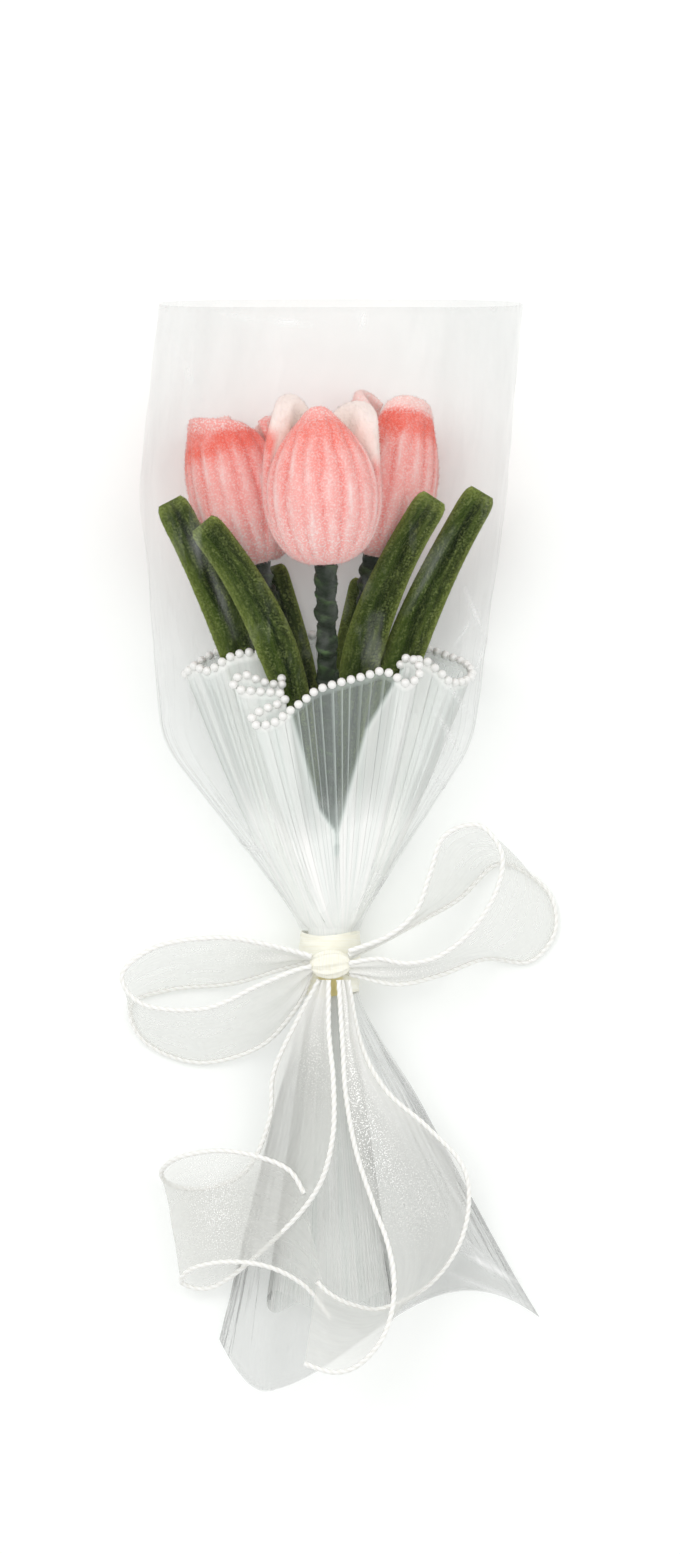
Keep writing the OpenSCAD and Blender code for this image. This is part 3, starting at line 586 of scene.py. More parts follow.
def petal(head, k, inner):
    """One petal: a band of strands bent round the head's axis, with a rounded top that rolls outwards in the middle.

    The front head's two open petals are padded on their inside.
    """
    shape = HEADS[head]
    bud = head == "front" and k == 3 and not inner
    if inner:
        tall, draw, arch, slant, roll = shape["inner_tall"], shape["inner_draw"], 3.5, 0, 0
        place, half_span, tip, drop, start = 120 * k + 60, 58.5, 0.55, PETAL_T + INNER_GAP, 5
        strands = INNER_STRANDS
    else:
        tall, draw, arch, roll = (shape[key][k - 1] for key in ("tall", "draw", "arch", "roll"))
        slant = shape["slant"]
        (place, half_span), tip, drop, start = shape["spread"][k - 1], shape["tip"], 0.0, 0
        strands = round(2 * half_span / STRAND_TURN)
    line = meridian(shape["radius"], draw, drop, start, HEAD_LEN - 0.6 + tall)
    ends = np.gradient(line, axis=0)
    out = unit(np.stack([ends[:, 1], -ends[:, 0]], axis=1))
    turn = np.radians(shape["turn"] + place)
    u = within((line[:, 1] - BELLY_Y) / (HEAD_LEN - BELLY_Y))
    share = np.linspace(0, 1, PETAL_ROWS)
    span = np.radians(half_span) * np.sqrt(1 - (1 - tip ** 2) * u ** 3)
    close = dome((share - 0.96) / 0.04)
    foot = dome((0.03 - share) / 0.03)
    half = PETAL_T / 2 * np.maximum(close * mix(0.5, 1, foot), 0.02)
    knob = KNOB if bud else 0.0
    puff = PAD if head == "front" and not bud and not inner else 0.0

    def bent(v, s, offset):
        row = np.arange(PETAL_ROWS)[:, None]
        angle = turn + span[row] * s
        middle = within(1 - s * s)
        flare = roll * middle ** 0.7 * ease((v - 0.76) / 0.24) ** 1.2
        flare = flare + knob * middle ** 3 * np.exp(-((v - 0.83) / 0.04) ** 2)
        padded = puff * (offset < 0) * np.sqrt(1 - np.abs(s) ** 7) * (1 - 0.5 * s ** 4) * ease((v - 0.45) / 0.3)
        padded = padded * dome((v - 0.7) / 0.3)
        r = line[row, 0] + out[row, 0] * offset * half[row] + flare - padded
        y = (line[row, 1] + out[row, 1] * offset * half[row] - arch * np.abs(s) ** 2.5 * v ** 4
             - slant * (s + 1) / 2 * u[row] ** 3)
        return head_place(head, r * np.sin(angle), y, r * np.cos(angle))

    depth = 0.12 + 0.34 * ease(share / 0.2) * (1 - ease((share - 0.74) / 0.2))
    depth = depth[:, None] * np.where(np.arange(2 * STRAND_COLS * strands) > STRAND_COLS * strands, 0.25, 1)
    points, values = band(PETAL_ROWS, strands, STRAND_COLS, depth, 7 * k + (3 if inner else 0), bent)
    rows, groove = values["row"], values["groove"]
    # Painted shade: the deep coral band just under the rolled lip, over the pile's coral; on the bud a coral band near
    # its top.
    under = 0.95 * np.exp(-((rows - shape["lip"]) / 0.1) ** 2)
    if bud:
        under = 0.5 * np.exp(-((rows - 0.9) / 0.22) ** 2)
    # Less coral left on the lip top makes it paler, as a painted highlight where the lip turns up to the light.
    kept = mix(1, shape["lip_coral"], ease((rows - 0.88) / 0.06))
    values["coral_with_lip_shade"] = within(under + 0.25 * ease((rows - 0.3) / 0.4)) * kept
    # Painted highlights along the crests, only on the middle of the petal's height.
    values["crest_highlight"] = 0.75 * values["crest_highlight"] * ease((rows - 0.05) / 0.2) * (1 - ease((rows - 0.7) / 0.12))
    # Painted shade in the grooves, weaker low down and fading out near the top.
    values["groove"] = groove * (0.4 + 0.4 * ease((rows - 0.1) / 0.3)) * (1 - ease((rows - 0.82) / 0.08))
    # Painted glints: white speckles, more on the lower half and at the very top, fewer under the lip.
    speckle_glint = 0.4 + 0.4 * ease((0.5 - rows) / 0.4) + 0.4 * ease((rows - 0.86) / 0.05)
    values["speckle_glint"] = within(speckle_glint) * (1 - 0.6 * under)
    pale_from = 0.6 if k == 1 else 0.78
    pale = 0.85 * ease((rows - pale_from) / 0.16) if head == "front" and not bud else 0
    # On the right head the very top turns pale as a painted highlight on its lip.
    if head == "right":
        pale = 0.4 * ease((rows - 0.9) / 0.05)
    values["inside"] = np.maximum((0.9 if head == "front" else 0.35) * values["inside"], pale)
    del values["edge"], values["row"], values["side"]
    name = f"{head}_{'inner' if inner else 'outer'}_petal_{k}"
    seed = 11 + 10 * k + 100 * list(HEADS).index(head) + (5 if inner else 0)
    return chenille(name, head + "_head", points, values, CREAM_PILE if inner else PINK_PILE,
                    INNER_FIBRES if inner else FIBRES, FIBRE_LEN, FIBRE_W, seed)


for head in HEADS:
    for k in (1, 2, 3):
        petal(head, k, False)
        petal(head, k, True)


# Stems: from the foot in the waist to the base of each head
STEM_ANGLE = {"left": 210, "front": 90, "right": 330}
BUNDLE_R = (2 * TAPE_R + 0.3) / math.sqrt(3)
STEM_TAIL = 10.0
TAPE_RINGS = 420
TAPE_SIDES = 24
TAPE_END_R = 3.6
LAP_PITCH = 6.5


def stem_at(head, t):
    """Point of a stem: a cubic curve that leaves the waist along Y and reaches the head along the chord."""
    a = np.array([BUNDLE_R * math.cos(math.radians(STEM_ANGLE[head])), WAIST_TOP,
                  WAIST_Z + BUNDLE_R * math.sin(math.radians(STEM_ANGLE[head]))])
    d = HEAD_BASE[head]
    reach = (d[1] - a[1]) / 3
    b, c = a + [0, reach, 0], d - reach * unit(d - a)
    t = np.asarray(t)[..., None]
    return (1 - t) ** 3 * a + 3 * t * (1 - t) ** 2 * b + 3 * t ** 2 * (1 - t) * c + t ** 3 * d


def tube(line, radii, sides):
    """Rings of a round bar along a line, with radii for each ring and side, and the turn of each point."""
    along = unit(np.gradient(line, axis=0))
    u = unit(np.cross([0, 0, 1.0], along))
    w = np.cross(along, u)
    a = turns(sides)
    ring = np.cos(a)[None, :, None] * u[:, None] + np.sin(a)[None, :, None] * w[:, None]
    return line[:, None] + radii[..., None] * ring, np.broadcast_to(a / (2 * np.pi), radii.shape)


def stem_tape(head, seed):
    """Floral tape wound up the stem: each lap rises towards its edge and steps down to the next, over a lumpy core."""
    line = np.vstack([stem_at(head, [0.0])[0] - [0, WAIST_TOP + STEM_TAIL, 0], stem_at(head, np.linspace(0, 1, 60))])
    line = resample(line, TAPE_RINGS)
    run = run_along(line)[:, None]
    a = turns(TAPE_SIDES)[None, :]
    lap = (run / LAP_PITCH + a / (2 * np.pi) + 0.12 * ripple(run / 9, seed)) % 1
    lumps = 0.58 * ripple(run / 3.6 + 0.8 * np.sin(a), seed + 1) + 0.16 * ripple(run / 1.4 + np.sin(2 * a), seed + 2)
    lumps = lumps * mix(0.5, 1, ease((run - 70) / 25))
    swell = 0.45 * ease((run - 75) / 20) + 0.35 * ease((run - run[-1] + 22) / 14)
    radii = TAPE_R - 0.25 + 0.5 * lap ** 2 + lumps + swell
    radii = np.where(run > run[-1] - 1.5, np.minimum(radii, TAPE_END_R), radii)
    points, around = tube(line, radii, TAPE_SIDES)
    faces = grid_faces(len(line), TAPE_SIDES, wrap_cols=True).tolist() + end_caps(len(line), TAPE_SIDES)
    values = {"lap": lap ** 3, "around": around, "along": np.broadcast_to(run, lap.shape)}
    name = head + "_stem_tape"
    return piece(name, "bouquet", points, faces, values, TAPE, [name, head + "_stem_wire"])


for number, head in enumerate(HEADS):
    stem_tape(head, 40 + number)


# Leaves: stem that carries the leaf, bend point from a point of the stem, tip from the base of the head, thickness as a
# share of LEAF_T, and length of the fibres
LEAVES = {
    "left_side_leaf": ("left", [-5.5, -2, 2], [-31.5, 20, 20.5], 0.7, 0.5),
    "left_back_leaf": ("left", [8.5, -2, -8.7], [4, -3, -10], 0.68, 0.3),
    "front_left_leaf": ("front", [-6.3, 12.2, -2.5], [-44.2, 12.3, -4.5], 0.7, 0.5),
    "front_right_leaf": ("front", [0, 9.7, -25], [38.9, 21.5, -5.5], 0.66, 0.4),
    "right_side_leaf": ("right", [6, 4, 0], [39.2, 20.6, 17.5], 0.66, 0.4),
    "right_back_leaf": ("right", [-6, -2, -8.7], [-2, -10.5, -10], 0.68, 0.3),
}
LEAF_BEND_AT = 0.65
LEAF_W = 14.6
LEAF_ROOT_W = 8.0
LEAF_T = 5.0
LEAF_ROWS = 90
LEAF_COLS = 14
LEAF_GROOVE = 0.5
LEAF_FIBRES = 9000
LEAF_FIBRE_W = 0.3


def leaf(name, seed):
    """Leaf: two strands along a bent line, narrow at the root and blunt at the tip."""
    head, bend, tip, slim, fur = LEAVES[name]
    root = LEAF_ROOT[name]
    bend, tip = stem_at(head, LEAF_BEND_AT) + bend, HEAD_BASE[head] + tip

    def bent(v, s, offset):
        line = bezier(root, bend, tip, v)
        along = unit(mix(bend - root, tip - bend, v))
        across = unit(np.cross(along, [0, 0, 1.0]))
        up = np.cross(across, along)
        blunt = dome((v - 0.95) / 0.05)
        width = mix(LEAF_ROOT_W, LEAF_W, within(1.8 * v)) / 2 * mix(0.72, 1, blunt)
        width = width * (1 - 0.16 * ease((v - 0.55) / 0.4))
        thick = slim * LEAF_T / 2 * np.maximum(mix(0.25, 1, blunt) * mix(0.8, 1, ease(8 * v)), 0.03)
        wander = 0.5 * np.sin(9 * v + seed)
        return (line[:, None] + across[:, None] * (width * s + wander * (1 - s * s))[..., None]
                + up[:, None] * (thick * offset)[..., None])

    points, values = band(LEAF_ROWS, 2, LEAF_COLS, LEAF_GROOVE, seed, bent)
    # Painted shade in the furrow between the two strands, none along the edges.
    values["groove"] = values["groove"] ** 1.5 * (1 - values["edge"])
    tip_share = values.pop("row")
    values["around"], values["along"] = values.pop("side"), 4 * tip_share + seed
    # The edge value also places the painted rim light, along both sides and in a band at the tip.
    values["edge"] = within(np.abs(values["around"]) ** 5 + 0.5 * ease((tip_share - 0.965) / 0.03))
    del values["inside"]
    return chenille(name, name, points, values, LEAF_PILE, LEAF_FIBRES, fur, LEAF_FIBRE_W, seed)


for number, name in enumerate(LEAVES):
    leaf(name, 70 + number)


# Collar: the rim's route, from the left end over the front with its folds, round the right lobe and the back
RIM = [
    [-52, 98.5, 21], [-48.5, 101.5, 27], [-45, 99.5, 30], [-41, 101, 33], [-37, 104, 34], [-31, 106, 33],
    [-24, 106, 32], [-20.5, 102.5, 33], [-17.5, 97, 36], [-17.5, 94.5, 39], [-24, 95.5, 42], [-30, 98, 43.5],
    [-34.5, 96, 44.5], [-33, 93, 45.5], [-25, 92, 46.5], [-17.5, 91.3, 47.5], [-16.5, 88.5, 49], [-24, 85.5, 50.5],
    [-28, 82.5, 51], [-26.5, 80, 51.5], [-20.5, 80.7, 52.5], [-15.5, 84.2, 53.5], [-9, 89, 54], [-4.5, 92.5, 54.5],
    [4, 95.3, 55], [12.5, 97.5, 54.5], [18.5, 99.3, 53.5], [23, 97.5, 53.5], [27, 95, 54.5], [31.3, 97, 53],
    [31.6, 101.5, 50], [28, 104.2, 47], [25.2, 102, 45], [26.5, 99.5, 43], [30, 102.5, 40.5], [33.5, 103.5, 39],
    [39.3, 99, 37.5], [43, 95.7, 35], [48, 96, 29], [51, 98.5, 22], [48.5, 102.5, 15], [41.5, 105.5, 9.5],
    [31.5, 109, 6], [16, 111.5, 4.6], [-5, 112.8, 4.4], [-24, 112, 4.6], [-41, 106.5, 7.5], [-49.5, 101, 13],
]
PEARL_D = 3.3
PEARL_PITCH = 3.5
COLLAR_R = 8.0
PLEATS = 90
PLEAT_END = -128.0
RUFFLE_ROWS, NECK_ROWS, SKIRT_ROWS = 62, 5, 29
RIM_MIDDLE_Z, RIM_HALF_W, RIM_HALF_H = 24.0, 50.0, 28.0
HEM_HALF_W, HEM_Z, HEM_HALF_H = 23.0, 4.8, 2.4
# The fold lines that bound the thin front: heights, and how far to the side the fold lies there
LEFT_FOLD = [42, 50.3, 69.7, 83.4, 95], [1.5, -4.4, -9.8, -13.8, -17]
RIGHT_FOLD = [41.3, 59.6, 78.7, 93.5, 100], [3.2, 7.8, 13.2, 22.2, 26]
# Places of the columns across one pleat: its flat face, and last the bottom of its tuck
PLEAT_COLS = np.array([0, 0.16, 0.32, 0.48, 0.64, 0.8, 0.93, 0.965])


def collar_columns():
    """For each column of the cloth its share of the rim, its size, how far it is tucked and how near a tuck it lies."""
    rng = np.random.default_rng(5)
    edges = np.concatenate([[0], np.cumsum(rng.uniform(0.6, 1.4, PLEATS))])
    edges = edges / edges[-1]
    share = (edges[:-1, None] + np.diff(edges)[:, None] * PLEAT_COLS).ravel()
    size = np.repeat(rng.uniform(0.4, 1.2, PLEATS), len(PLEAT_COLS))
    tuck = np.tile(PLEAT_COLS == PLEAT_COLS[-1], PLEATS) * 1.0
    near = np.tile(np.interp(np.abs(PLEAT_COLS - PLEAT_COLS[-1]), [0, 0.05, 0.22], [1, 0.8, 0]), PLEATS)
    return share, size, tuck, near


def collar_rim(share):
    """Points of the rim at shares of its length."""
    rim = spline(RIM, 12, closed=True)
    rim = np.vstack([rim, rim[:1]])
    run = run_along(rim)
    return np.stack([np.interp(share * run[-1], run, rim[:, k]) for k in range(3)], axis=1)


def collar():
    """Organza: from the rim it runs down to the gathered waist and on to a pleated skirt, with tucks let into it.

    Each line of the cloth goes from a rim point to a point of the waist ring, bulging outwards on its way,
    and below the waist it goes on to a flat ring at the skirt's hem.
    """
    u, size, tuck, near = collar_columns()
    rim = collar_rim(u)
    angle = np.unwrap(np.arctan2((rim[:, 2] - RIM_MIDDLE_Z) / RIM_HALF_H, rim[:, 0] / RIM_HALF_W))
    even = angle[0] - 2 * np.pi * u
    angle = mix(angle, even, 0.65)
    waist = np.stack([COLLAR_R * np.cos(angle), np.full(len(u), WAIST_TOP), WAIST_Z + COLLAR_R * np.sin(angle)], 1)
    hem = np.stack([HEM_HALF_W * np.cos(even), PLEAT_END + 4 * np.sin(3 * even), HEM_Z + HEM_HALF_H * np.sin(even)], 1)
    neck = waist + [0, WAIST_LOW - WAIST_TOP, 0]
    up = np.linspace(1, 0, RUFFLE_ROWS)[:, None, None]
    above = np.concatenate([mix(waist[None, :, :1], rim[None, :, :1], up ** 0.78),
                            mix(waist[None, :, 1:2], rim[None, :, 1:2], up),
                            mix(waist[None, :, 2:], rim[None, :, 2:], up ** 0.78)], axis=2)
    middle = mix(waist[None], neck[None], np.linspace(0, 1, NECK_ROWS + 1)[1:, None, None])
    down = np.linspace(0, 1, SKIRT_ROWS + 1)[1:, None, None]
    below = mix(neck[None], hem[None], down)
    below[..., 2:] = mix(neck[None, :, 2:], hem[None, :, 2:], down ** 0.6)
    p = np.concatenate([above, middle, below])
    share = np.concatenate([up[:, 0, 0], np.zeros(NECK_ROWS), -down[:, 0, 0]])[:, None]
    normal = -grid_normals(p, wrap_cols=True)
    inward = -normal * np.sign(np.sum(normal * (p - p.mean(axis=1, keepdims=True))))
    depth = np.interp(share, [-1, -0.3, -0.02, 0, 0.08, 0.3, 0.9, 0.99], [1.3, 1.4, 0.3, 0.3, 0.3, 1.5, 1.5, 0.0])
    p = p + inward * (depth * (size * tuck)[None, :])[..., None]
    p[..., 2] = np.maximum(p[..., 2], 0.75)
    line = (near * size)[None, :]
    front = ease((rim[:, 2] - 14) / 12)[None, :]
    left, right = np.interp(p[..., 1], *LEFT_FOLD), np.interp(p[..., 1], *RIGHT_FOLD)
    inside = np.minimum(p[..., 0] - left, right - p[..., 0])
    window = front * ease(inside / 2.5 + 0.5)
    fold = front * np.exp(-(inside / 0.9) ** 2) * (share > 0.35)
    gather = np.where(share >= 0, 0.7 * ease((0.62 - share) / 0.55), 0.3 * (1 + share) ** 1.5 + 0.1)
    sides = np.where(share >= 0, 0.52 * front * (1 - window), 0)
    lines = np.where(share >= 0, mix(0.08, 0.55, window), 0.2) * line * (share < 0.97)
    dense = np.clip(lines + gather + sides + 0.25 * fold + 0.25 * (share > 0.98), 0, 0.92)
    values = {"around": np.broadcast_to(u[None, :], p.shape[:2]), "along": np.broadcast_to(share, p.shape[:2]),
              "dense": dense, "white": within(1.4 * dense * (1 - window) + (share < 0.3))}
    faces = grid_faces(*p.shape[:2], wrap_cols=True)[:, ::-1]
    soft = unit(normal + 0.8 * np.tanh(3 * normal[..., 2:]) * np.array([0, 0, 1.0]))
    obj = piece("organza_collar", "bouquet", p, faces.tolist(), values, ORGANZA, ["organza_collar"],
                normals=soft)
    return obj, rim, p


def ball(stacks=6, slices=10):
    """Points and faces of a unit ball."""
    a = np.linspace(0, np.pi, stacks + 1)[1:-1, None]
    b = turns(slices)[None, :]
    ring = np.stack(np.broadcast_arrays(np.sin(a) * np.cos(b), np.sin(a) * np.sin(b), np.cos(a)), -1).reshape(-1, 3)
    points = np.vstack([ring, [[0, 0, 1], [0, 0, -1]]])
    quads = grid_faces(stacks - 1, slices, wrap_cols=True)[:, ::-1].tolist()
    j = np.arange(slices)
    top, low = len(ring), len(ring) + 1
    last = (stacks - 2) * slices
    fans = [[top, int(k), int((k + 1) % slices)] for k in j]
    fans += [[low, int(last + (k + 1) % slices), int(last + k)] for k in j]
    return points, quads + fans


def pearls(rim, cloth):
    """Pearls at even steps just past the rim, on the side that the cloth points to."""
    count = int(run_along(np.vstack([rim, rim[:1]]))[-1] / PEARL_PITCH)
    way = unit(cloth[0] - cloth[3])
    route = rim + 0.4 * way
    centre = resample(np.vstack([route, route[:1]]), count + 1)[:-1]
    points, faces = ball()
    n = len(points)
    p = (centre[:, None] + PEARL_D / 2 * points[None]).reshape(-1, 3)
    p[:, 2] = np.maximum(p[:, 2], 0.9)
    shifted = [[v + n * k for v in f] for k in range(count) for f in faces]
    return piece("pearl_string", "bouquet", p, shifted, {}, PEARL, ["pearl_string"])


collar_piece, rim_line, collar_grid = collar()
collar_piece.visible_shadow = False
pearl_piece = pearls(rim_line, collar_grid)

# Film sleeve: a ring at the waist, and the reach to the left and right and the height where each part of it ends
SLEEVE_ROWS, SLEEVE_COLS = 290, 320
SLEEVE_RING = 9.47
SLEEVE_LOW = -3.0
SKIRT = dict(y=-161.0, left=40.5, right=76.0, high=8.0)
CONE = dict(y=74.0, left=61.0, right=52.0, high=57.0)
BELLY = dict(y=163.0, left=69.5, right=64.0, high=cad_box[1][2] * 1000)
MOUTH = dict(y=232.0, left=62.0, right=69.5, high=66.0)

# Painted highlights of the film's front, white reflections along sharp creases: start and end, strength and half width
CREASE_HIGHLIGHTS = [
    (48, 129, 56, 111, 0.45, 0.8), (56, 111, 51, 96, 0.35, 0.7), (44, 108, 52, 120, 0.3, 0.7),
    (36, 88, 48, 68, 0.45, 0.8), (43, 80, 39, 66, 0.4, 0.7), (46, 74, 41, 58, 0.3, 0.8), (40, 98, 50, 84, 0.35, 0.8),
    (34, 66, 46, 52, 0.3, 0.9), (30, 84, 34, 62, 0.2, 0.9),
    (-33, 38, -22, 34, 0.5, 0.9), (-30, 41, -24, 32, 0.35, 0.7), (15, 30, 27, 10.5, 0.3, 0.9),
    (10, 14, 24, 28, 0.45, 0.7), (8, 12, 17, 27, 0.35, 0.6), (12, 12, 30, 24, 0.3, 0.6),
    (-22, 225, -7, 222.5, 0.55, 0.9), (11, 229, 11.5, 221, 0.55, 0.9), (-40, 228, -24, 224, 0.3, 0.9),
    (-58, 222, -46, 196, 0.2, 1.0), (-48, 224, -52, 190, 0.15, 1.2),
    (46, -109, 70, -122, 0.6, 0.9), (44, -118, 76, -131, 0.55, 0.9), (21, -141, 48, -128.6, 0.5, 0.9),
    (48, -106, 62, -122, 0.3, 0.8), (40, -96, 72, -128, 0.3, 0.9),
    (44, 150, 27, 120, 0.1, 1.0), (40, 146, 30, 132, 0.06, 1.6), (-44, 140, -34, 112, 0.1, 1.0),
    (-50, 150, -46, 138, 0.1, 2.0), (18, -30, 52, -104, 0.22, 0.8), (28, -60, 62, -118, 0.2, 0.8),
]


def sleeve_rows():
    """Rows of the sleeve: place along it, reach left, reach right, lowest and highest point.

    Skirt, waist, cone, belly and mouth follow on each other, each from a few stations, smoothed along the sleeve.
    """
    ring = dict(left=SLEEVE_RING, right=SLEEVE_RING, low=WAIST_Z - SLEEVE_RING, high=WAIST_Z + SLEEVE_RING)
    rows = []

    def part(a, b, shares, spread=1.0, rise=lambda f: f):
        for f in shares:
            wide = f ** spread
            rows.append([mix(a["y"], b["y"], f), -mix(a["left"], b["left"], wide), mix(a["right"], b["right"], wide),
                         mix(a.get("low", SLEEVE_LOW), SLEEVE_LOW, min(1, 3 * f)), mix(a["high"], b["high"], rise(f))])

    part(dict(ring, y=WAIST_LOW), SKIRT, (1, 0.75, 0.5, 0.25, 0), spread=0.8)
    part(dict(ring, y=WAIST_TOP), CONE, (0, 0.33, 0.66, 1))
    part(CONE, BELLY, (0.35, 0.7, 1), rise=lambda f: math.sin(math.pi / 2 * f))
    part(BELLY, MOUTH, (0.25, 0.5, 0.75, 1), rise=lambda f: f * f)
    rows = np.array(rows)
    y = np.linspace(SKIRT["y"], MOUTH["y"], SLEEVE_ROWS)
    line = np.stack([np.interp(y, rows[:, 0], rows[:, k]) for k in range(5)], axis=1)
    wide = np.pad(line, ((6, 6), (0, 0)), mode="reflect", reflect_type="odd")
    return np.mean([wide[k:k + len(y)] for k in range(13)], axis=0)


def film_sleeve():
    """Clear film: a tube of rounded sections, flatter below, with soft folds let in that fan out from the waist."""
    line = sleeve_rows()
    rows = len(line)
    a = turns(SLEEVE_COLS)[None, :]
    y, left, right, low, high = (line[:, k:k + 1] for k in range(5))
    away = np.maximum(y - WAIST_TOP, WAIST_LOW - y)
    waist = np.exp(-(np.maximum(away, 0) / 9) ** 2)
    upper, lower = mix(0.8, 1.0, waist), mix(0.62, 1.0, waist)
    flare = ease(away / 26) * np.exp(-np.maximum(away, 0) / np.where(y > 0, 62, 120))
    folds = 1.6 * flare * (1 + ripple(13 * a + 0.6 * np.sin(y / 40), 21, 7))
    folds = folds + 0.5 * flare * (1 + ripple(30 * a, 23, 5))
    slack = 0.6 * ease((y - 60) / 60) * (1 + ripple(3 * a + y / 26, 25, 5))
    let_in = 1 - np.clip(folds + slack, 0, 6) / np.maximum((right - left) / 2, 20)
    c, s = np.cos(a), np.sin(a)
    bulge = np.where(s < 0, lower, upper)
    x = (left + right) / 2 + (right - left) / 2 * power(c, bulge) * let_in
    z = (low + high) / 2 + (high - low) / 2 * power(s, bulge) * np.where(s > 0, let_in, 1)
    z = np.maximum(z, 0.15)
    u = (x - left) / (right - left)
    down = within((WAIST_LOW - y) / (WAIST_LOW - SKIRT["y"])) ** 2
    rise = (20 * within(1 - u / 0.16) ** 2 - 10 * (within(u - 0.78) / 0.22) ** 2
            + 37 * (1 - np.cos(np.pi * within((u - 0.1) / 0.68))) / 2)
    p = np.stack(np.broadcast_arrays(x, y + down * rise, z), axis=-1)
    side = np.abs(np.cos(a)) ** 10 * ease((y - 40) / 50)
    mouth = ease((y - MOUTH["y"] + 3) / 3)
    hem = ease((SKIRT["y"] + 4 - y) / 4)
    skirt = ease((-30 - y) / 60)
    # Painted shade: the skirt's grey deepens on its right side, away from the key lamp, and stands in for the film's
    # own shadow, which is switched off; it is lighter in the middle.
    grey = (0.105 + 0.075 * ease((u - 0.5) / 0.2)) * (1 - 0.8 * np.exp(-(x / 20) ** 2) * ease((y + 135) / 20))
    # Painted highlights: white at the mouth, hem and waist, on the skirt's side edges and along the listed creases.
    glint = 0.16 * mouth * ripple(9 * a, 27) ** 2 + 0.2 * hem + 0.12 * waist + 0.25 * np.abs(np.cos(a)) ** 6 * skirt
    for x0, y0, x1, y1, strength, half in CREASE_HIGHLIGHTS:
        start, way = np.array([x0, y0]), np.array([x1 - x0, y1 - y0])
        off = p[..., :2] - start
        at = within(off @ way / (way @ way))
        gap = np.linalg.norm(off - at[..., None] * way, axis=-1)
        glint = glint + strength * np.exp(-(gap / half) ** 2) * np.sin(np.pi * np.clip(at, 0.12, 0.88)) * (s > 0)
    corner = ease((y - 140) / 40) * ease((np.abs(x) - 18) / 34)
    values = {"around": a / (2 * np.pi), "along": y / 40, "glint": glint,
              "dense": 0.03 * side + 0.03 * mouth + 0.04 * hem + grey * skirt + 0.03 * corner,
              "gather": within(flare * 1.6 + 0.8 * waist)}
    values = {k: np.broadcast_to(v, p.shape[:2]) for k, v in values.items()}
    faces = grid_faces(rows, SLEEVE_COLS, wrap_cols=True)[:, ::-1]
    return piece("film_sleeve", "bouquet", p, faces.tolist(), values, FILM, ["film_sleeve"])


film_piece = film_sleeve()
# The film casts no shadow; its grey tint carries painted shade instead.
film_piece.visible_shadow = False

# Tie band and bow
BAND_R = 9.8
BAND_T = 1.0
BAND_LEN = 22.0
BAND_ROWS, BAND_COLS = 40, 96


def tie_band():
    """Band: a flattened closed profile carried round the waist, with wrinkles that run round it."""
    t = turns(BAND_ROWS)
    a = turns(BAND_COLS)[None, :]
    y = BAND_LEN / 2 * power(np.cos(t), 0.6)[:, None] + 0 * a
    r = BAND_R + BAND_T / 2 + BAND_T / 2 * np.sin(t)[:, None] + 0 * a
    outer = (np.sin(t)[:, None] > 0) * 1.0
    r = r + outer * (0.35 * ripple(y / 1.7 + 0.9 * np.sin(2 * a), 31) + 0.25 * np.sin(4 * a + y / 4))
    y = y + 0.9 * np.sin(a * 2 + 1) * np.abs(y) / 11
    p = np.stack([r * np.cos(a), KNOT_Y + y, WAIST_Z + r * np.sin(a)], axis=-1)
    values = {"around": a / (2 * np.pi) + 0 * r, "along": y / 10,
              "yellow": ease((-3 - y) / 3) * ease((np.sin(a) - 0.88) / 0.06)}
    faces = grid_faces(*p.shape[:2], wrap_cols=True, wrap_rows=True)
    return piece("tie_band", "bouquet", p, faces.tolist(), values, SATIN, ["tie_band"])


KNOT_HALF = np.array([7.4, 4.8, 3.6])
KNOT_ROWS, KNOT_COLS = 40, 64


def bow_knot():
    """Knot: a cushion pinched in the middle, with folds that run across it and gather at both ends."""
    t = np.linspace(0, np.pi, KNOT_ROWS)[:, None]
    a = turns(KNOT_COLS)[None, :]
    x = -np.cos(t)
    size = np.sin(np.clip(t, 0.02, np.pi - 0.02)) ** 0.9
    fold = 1 + 0.13 * np.sin(9 * a + 2.5 * x) * np.sin(t) ** 0.5 + 0.08 * ripple(5 * a + x, 33)
    p = np.stack(np.broadcast_arrays(KNOT_HALF[0] * x, KNOT_Y + KNOT_HALF[1] * size * fold * np.cos(a),
                                     KNOT_Z + KNOT_HALF[2] * size * fold * np.sin(a)), -1)
    values = {"around": a / (2 * np.pi) + 0 * t, "along": x + 0 * a, "yellow": 0 * (t + a)}
    faces = grid_faces(KNOT_ROWS, KNOT_COLS, wrap_cols=True).tolist() + end_caps(KNOT_ROWS, KNOT_COLS)
    return piece("bow_knot", "bouquet", p, [f[::-1] for f in faces], values, SATIN, ["bow_knot"])


